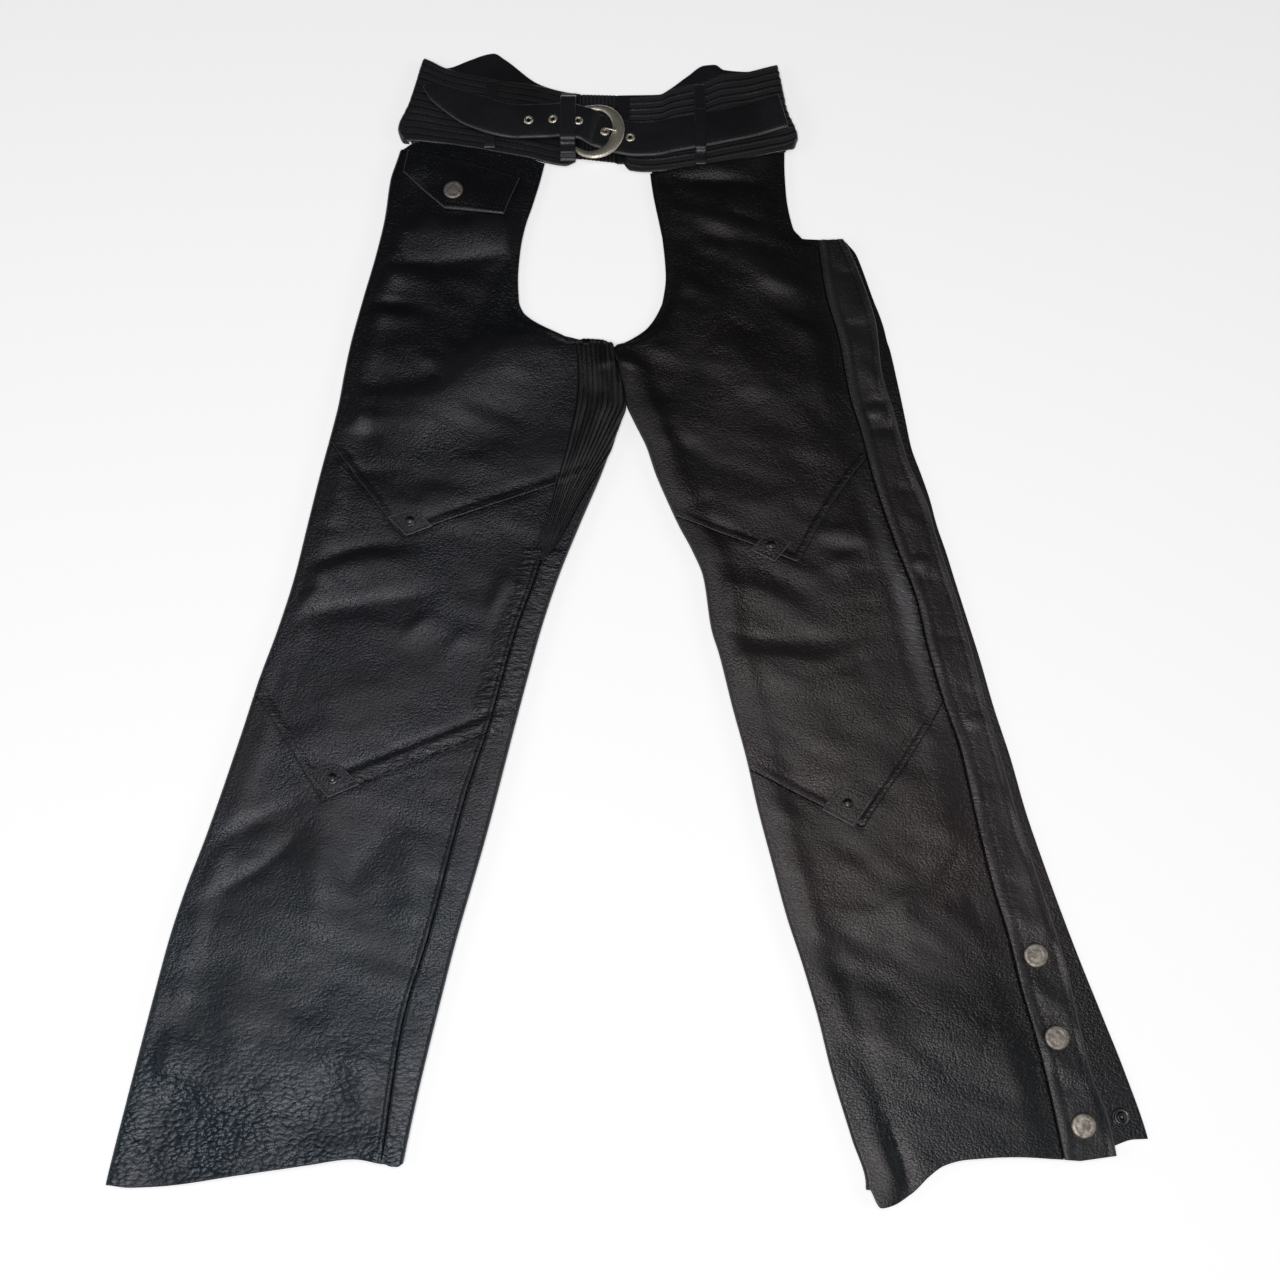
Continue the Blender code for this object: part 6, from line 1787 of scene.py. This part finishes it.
yoke_lines = []
for side, yoke in YOKES.items():
    for part in np.arange(1, YOKE_RIBS) / YOKE_RIBS:
        across = steps_between(float(yoke.fold(part)) + yoke.inward * 6,
                               float(yoke.inner_end(part)) - yoke.inward * 4, 3.0)
        ups = mix(yoke.bottom(across), yoke.top(across), part)
        yoke_lines.append(spots_at(across, ups, yoke_height(side, across, ups) + 0.02))
sewing.append(sew("yoke_stitches", yoke_lines, 4.0))

# %% [markdown]
# ## Handing over
# Each piece rides on the one body and stands for its solid, which is hidden. The table gives
# each cloth piece the size that it was cut to; the areas come from the same tables as the
# pieces. Only its first column, the solid's name, is used here.

# %% Which piece stands for which solid
CUTS = """node slot width length area held rests_on
    right_front_shin hem_leather .29 .42 .0787 laid right_back
    right_front_knee knee_leather .26 .34 .0536 laid right_back
    right_front_thigh leather .25 .41 .0683 laid right_back
    left_front_shin hem_leather .24 .43 .0578 laid left_back
    left_front_knee knee_leather .23 .35 .0441 laid left_back
    left_front_thigh leather .25 .42 .0646 laid left_back
    right_back hem_leather .34 .97 .2121 folded
    left_back hem_leather .26 .97 .2065 laid
    right_gusset ribbed_leather .07 .22 .009 folded right_back
    left_placket knee_leather .045 .845 .0314 laid left_back
    right_yoke ribbed_leather .19 .1 .0165 folded right_back_yoke
    left_yoke ribbed_leather .19 .1 .0165 folded left_back_yoke
    right_back_yoke leather .18 .11 .0146 laid
    left_back_yoke leather .18 .11 .0144 laid
    back_waist_insert ribbed_leather .036 .075 .0027 laid
    pocket_flap strap_leather .11 .062 .005 laid right_front_thigh
    waist_strap strap_leather .38 .038 .0131 laid right_yoke left_yoke
    buckle_chape strap_leather .072 .025 .0018 folded right_yoke
    strap_keeper strap_leather .086 .015 .00126 laid waist_strap
    right_belt_loop strap_leather .076 .011 .00083 laid right_yoke
    left_belt_loop strap_leather .09 .0105 .00094 laid left_yoke
    right_upper_patch knee_leather .026 .026 .0006 laid right_front_thigh
    right_lower_patch knee_leather .03 .03 .0008 laid right_front_knee
    left_upper_patch knee_leather .025 .025 .0006 laid left_front_thigh
    left_lower_patch knee_leather .031 .031 .0009 laid left_front_knee"""
for cut in CUTS.splitlines()[1:]:
    node, slot, width, length, area, held, *under = cut.split()
    piece = shells[f"{node}_leather"]
    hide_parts(node)
    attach(piece, "root")
    [f"{name}_leather" for name in under]
print("cloth pieces:", len(shells))

# %% Fittings and stitches
METALWORK = [
    (placket_snaps, "nickel", [f"placket_snap_{k}" for k in (1, 2, 3)]),
    (pocket_snap, "nickel", ["pocket_snap"]),
    (panel_rivets, "nickel", [f"{patch.name}_rivet" for patch in PATCHES]),
    (hem_socket, "nickel", ["hem_socket"]),
    (strap_eyelets, "silver", [f"eyelet_{k}" for k in (1, 2, 3, 4, 5)]),
    (buckle, "silver", ["buckle_frame"]),
    (prong, "silver", ["buckle_prong"]),
]
for piece, slot, nodes in METALWORK:
    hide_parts(*nodes)
    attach(piece, "root")
for piece in sewing:
    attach(piece, "root")
print("fitting groups:", len(METALWORK))

# %% [markdown]
# ## Stage
# Black leather shows its form by reflection alone. One big softbox hangs over the hems, so the
# slopes that face it shine and the far sides of the creases stay dark; a weaker one over the
# waist does the same for the thighs. The floor is a pale light table, which keeps it bright
# without more light on the leather. The Standard view transform holds the blacks down.

# %% Floor and lights
floor_look, graph = new_material("pale floor")
set_shader(graph, Base_Color=(0.86, 0.86, 0.86), Roughness=0.9, Specular_IOR_Level=0.1,
           Emission_Color=(1, 1, 1), Emission_Strength=0.39)
floor = mesh_object("floor", [(x, y, -0.0004) for x, y in ((-6, -6), (6, -6), (6, 6), (-6, 6))],
                    [(0, 1, 2, 3)], floor_look)

world = bpy.data.worlds.new("studio")
world.use_nodes = True
graph = Graph(world.node_tree)
graph.fill(graph.nodes["Background"], {"Color": (0.93, 0.95, 1.0), "Strength": 0.04})
seen = graph.add("ShaderNodeLightPath", output="Is Camera Ray")
wall = graph.add("ShaderNodeBackground", {"Color": (0.72, 0.72, 0.72)})
either = graph.add("ShaderNodeMixShader",
                   {0: seen, 1: graph.nodes["Background"].outputs[0], 2: wall})
graph.fill(graph.nodes["World Output"], {"Surface": either})
bpy.context.scene.world = world
bpy.context.scene.view_settings.view_transform = "Standard"


def softbox(name, place, target, width, height, watts):
    """A rectangular light, in metres and watts, that faces its target."""
    data = bpy.data.lights.new(name, "AREA")
    data.shape = "RECTANGLE"
    data.size, data.size_y, data.energy = width, height, watts
    look_at(add_object(name, data), place, target)


softbox("hem_softbox", (-0.2, -1.3, 2.3), (-0.1, -0.45, 0), 1.7, 0.9, 33)
softbox("overhead_softbox", (-0.1, 0.1, 2.3), (-0.1, 0.0, 0), 1.4, 0.7, 8)
softbox("left_fill", (2.6, 0, 1.1), (0, 0, 0), 2.4, 0.9, 12)
softbox("right_fill", (-2.6, 0, 1.1), (0, 0, 0), 2.4, 0.9, 12)
print("floor and lights ready")
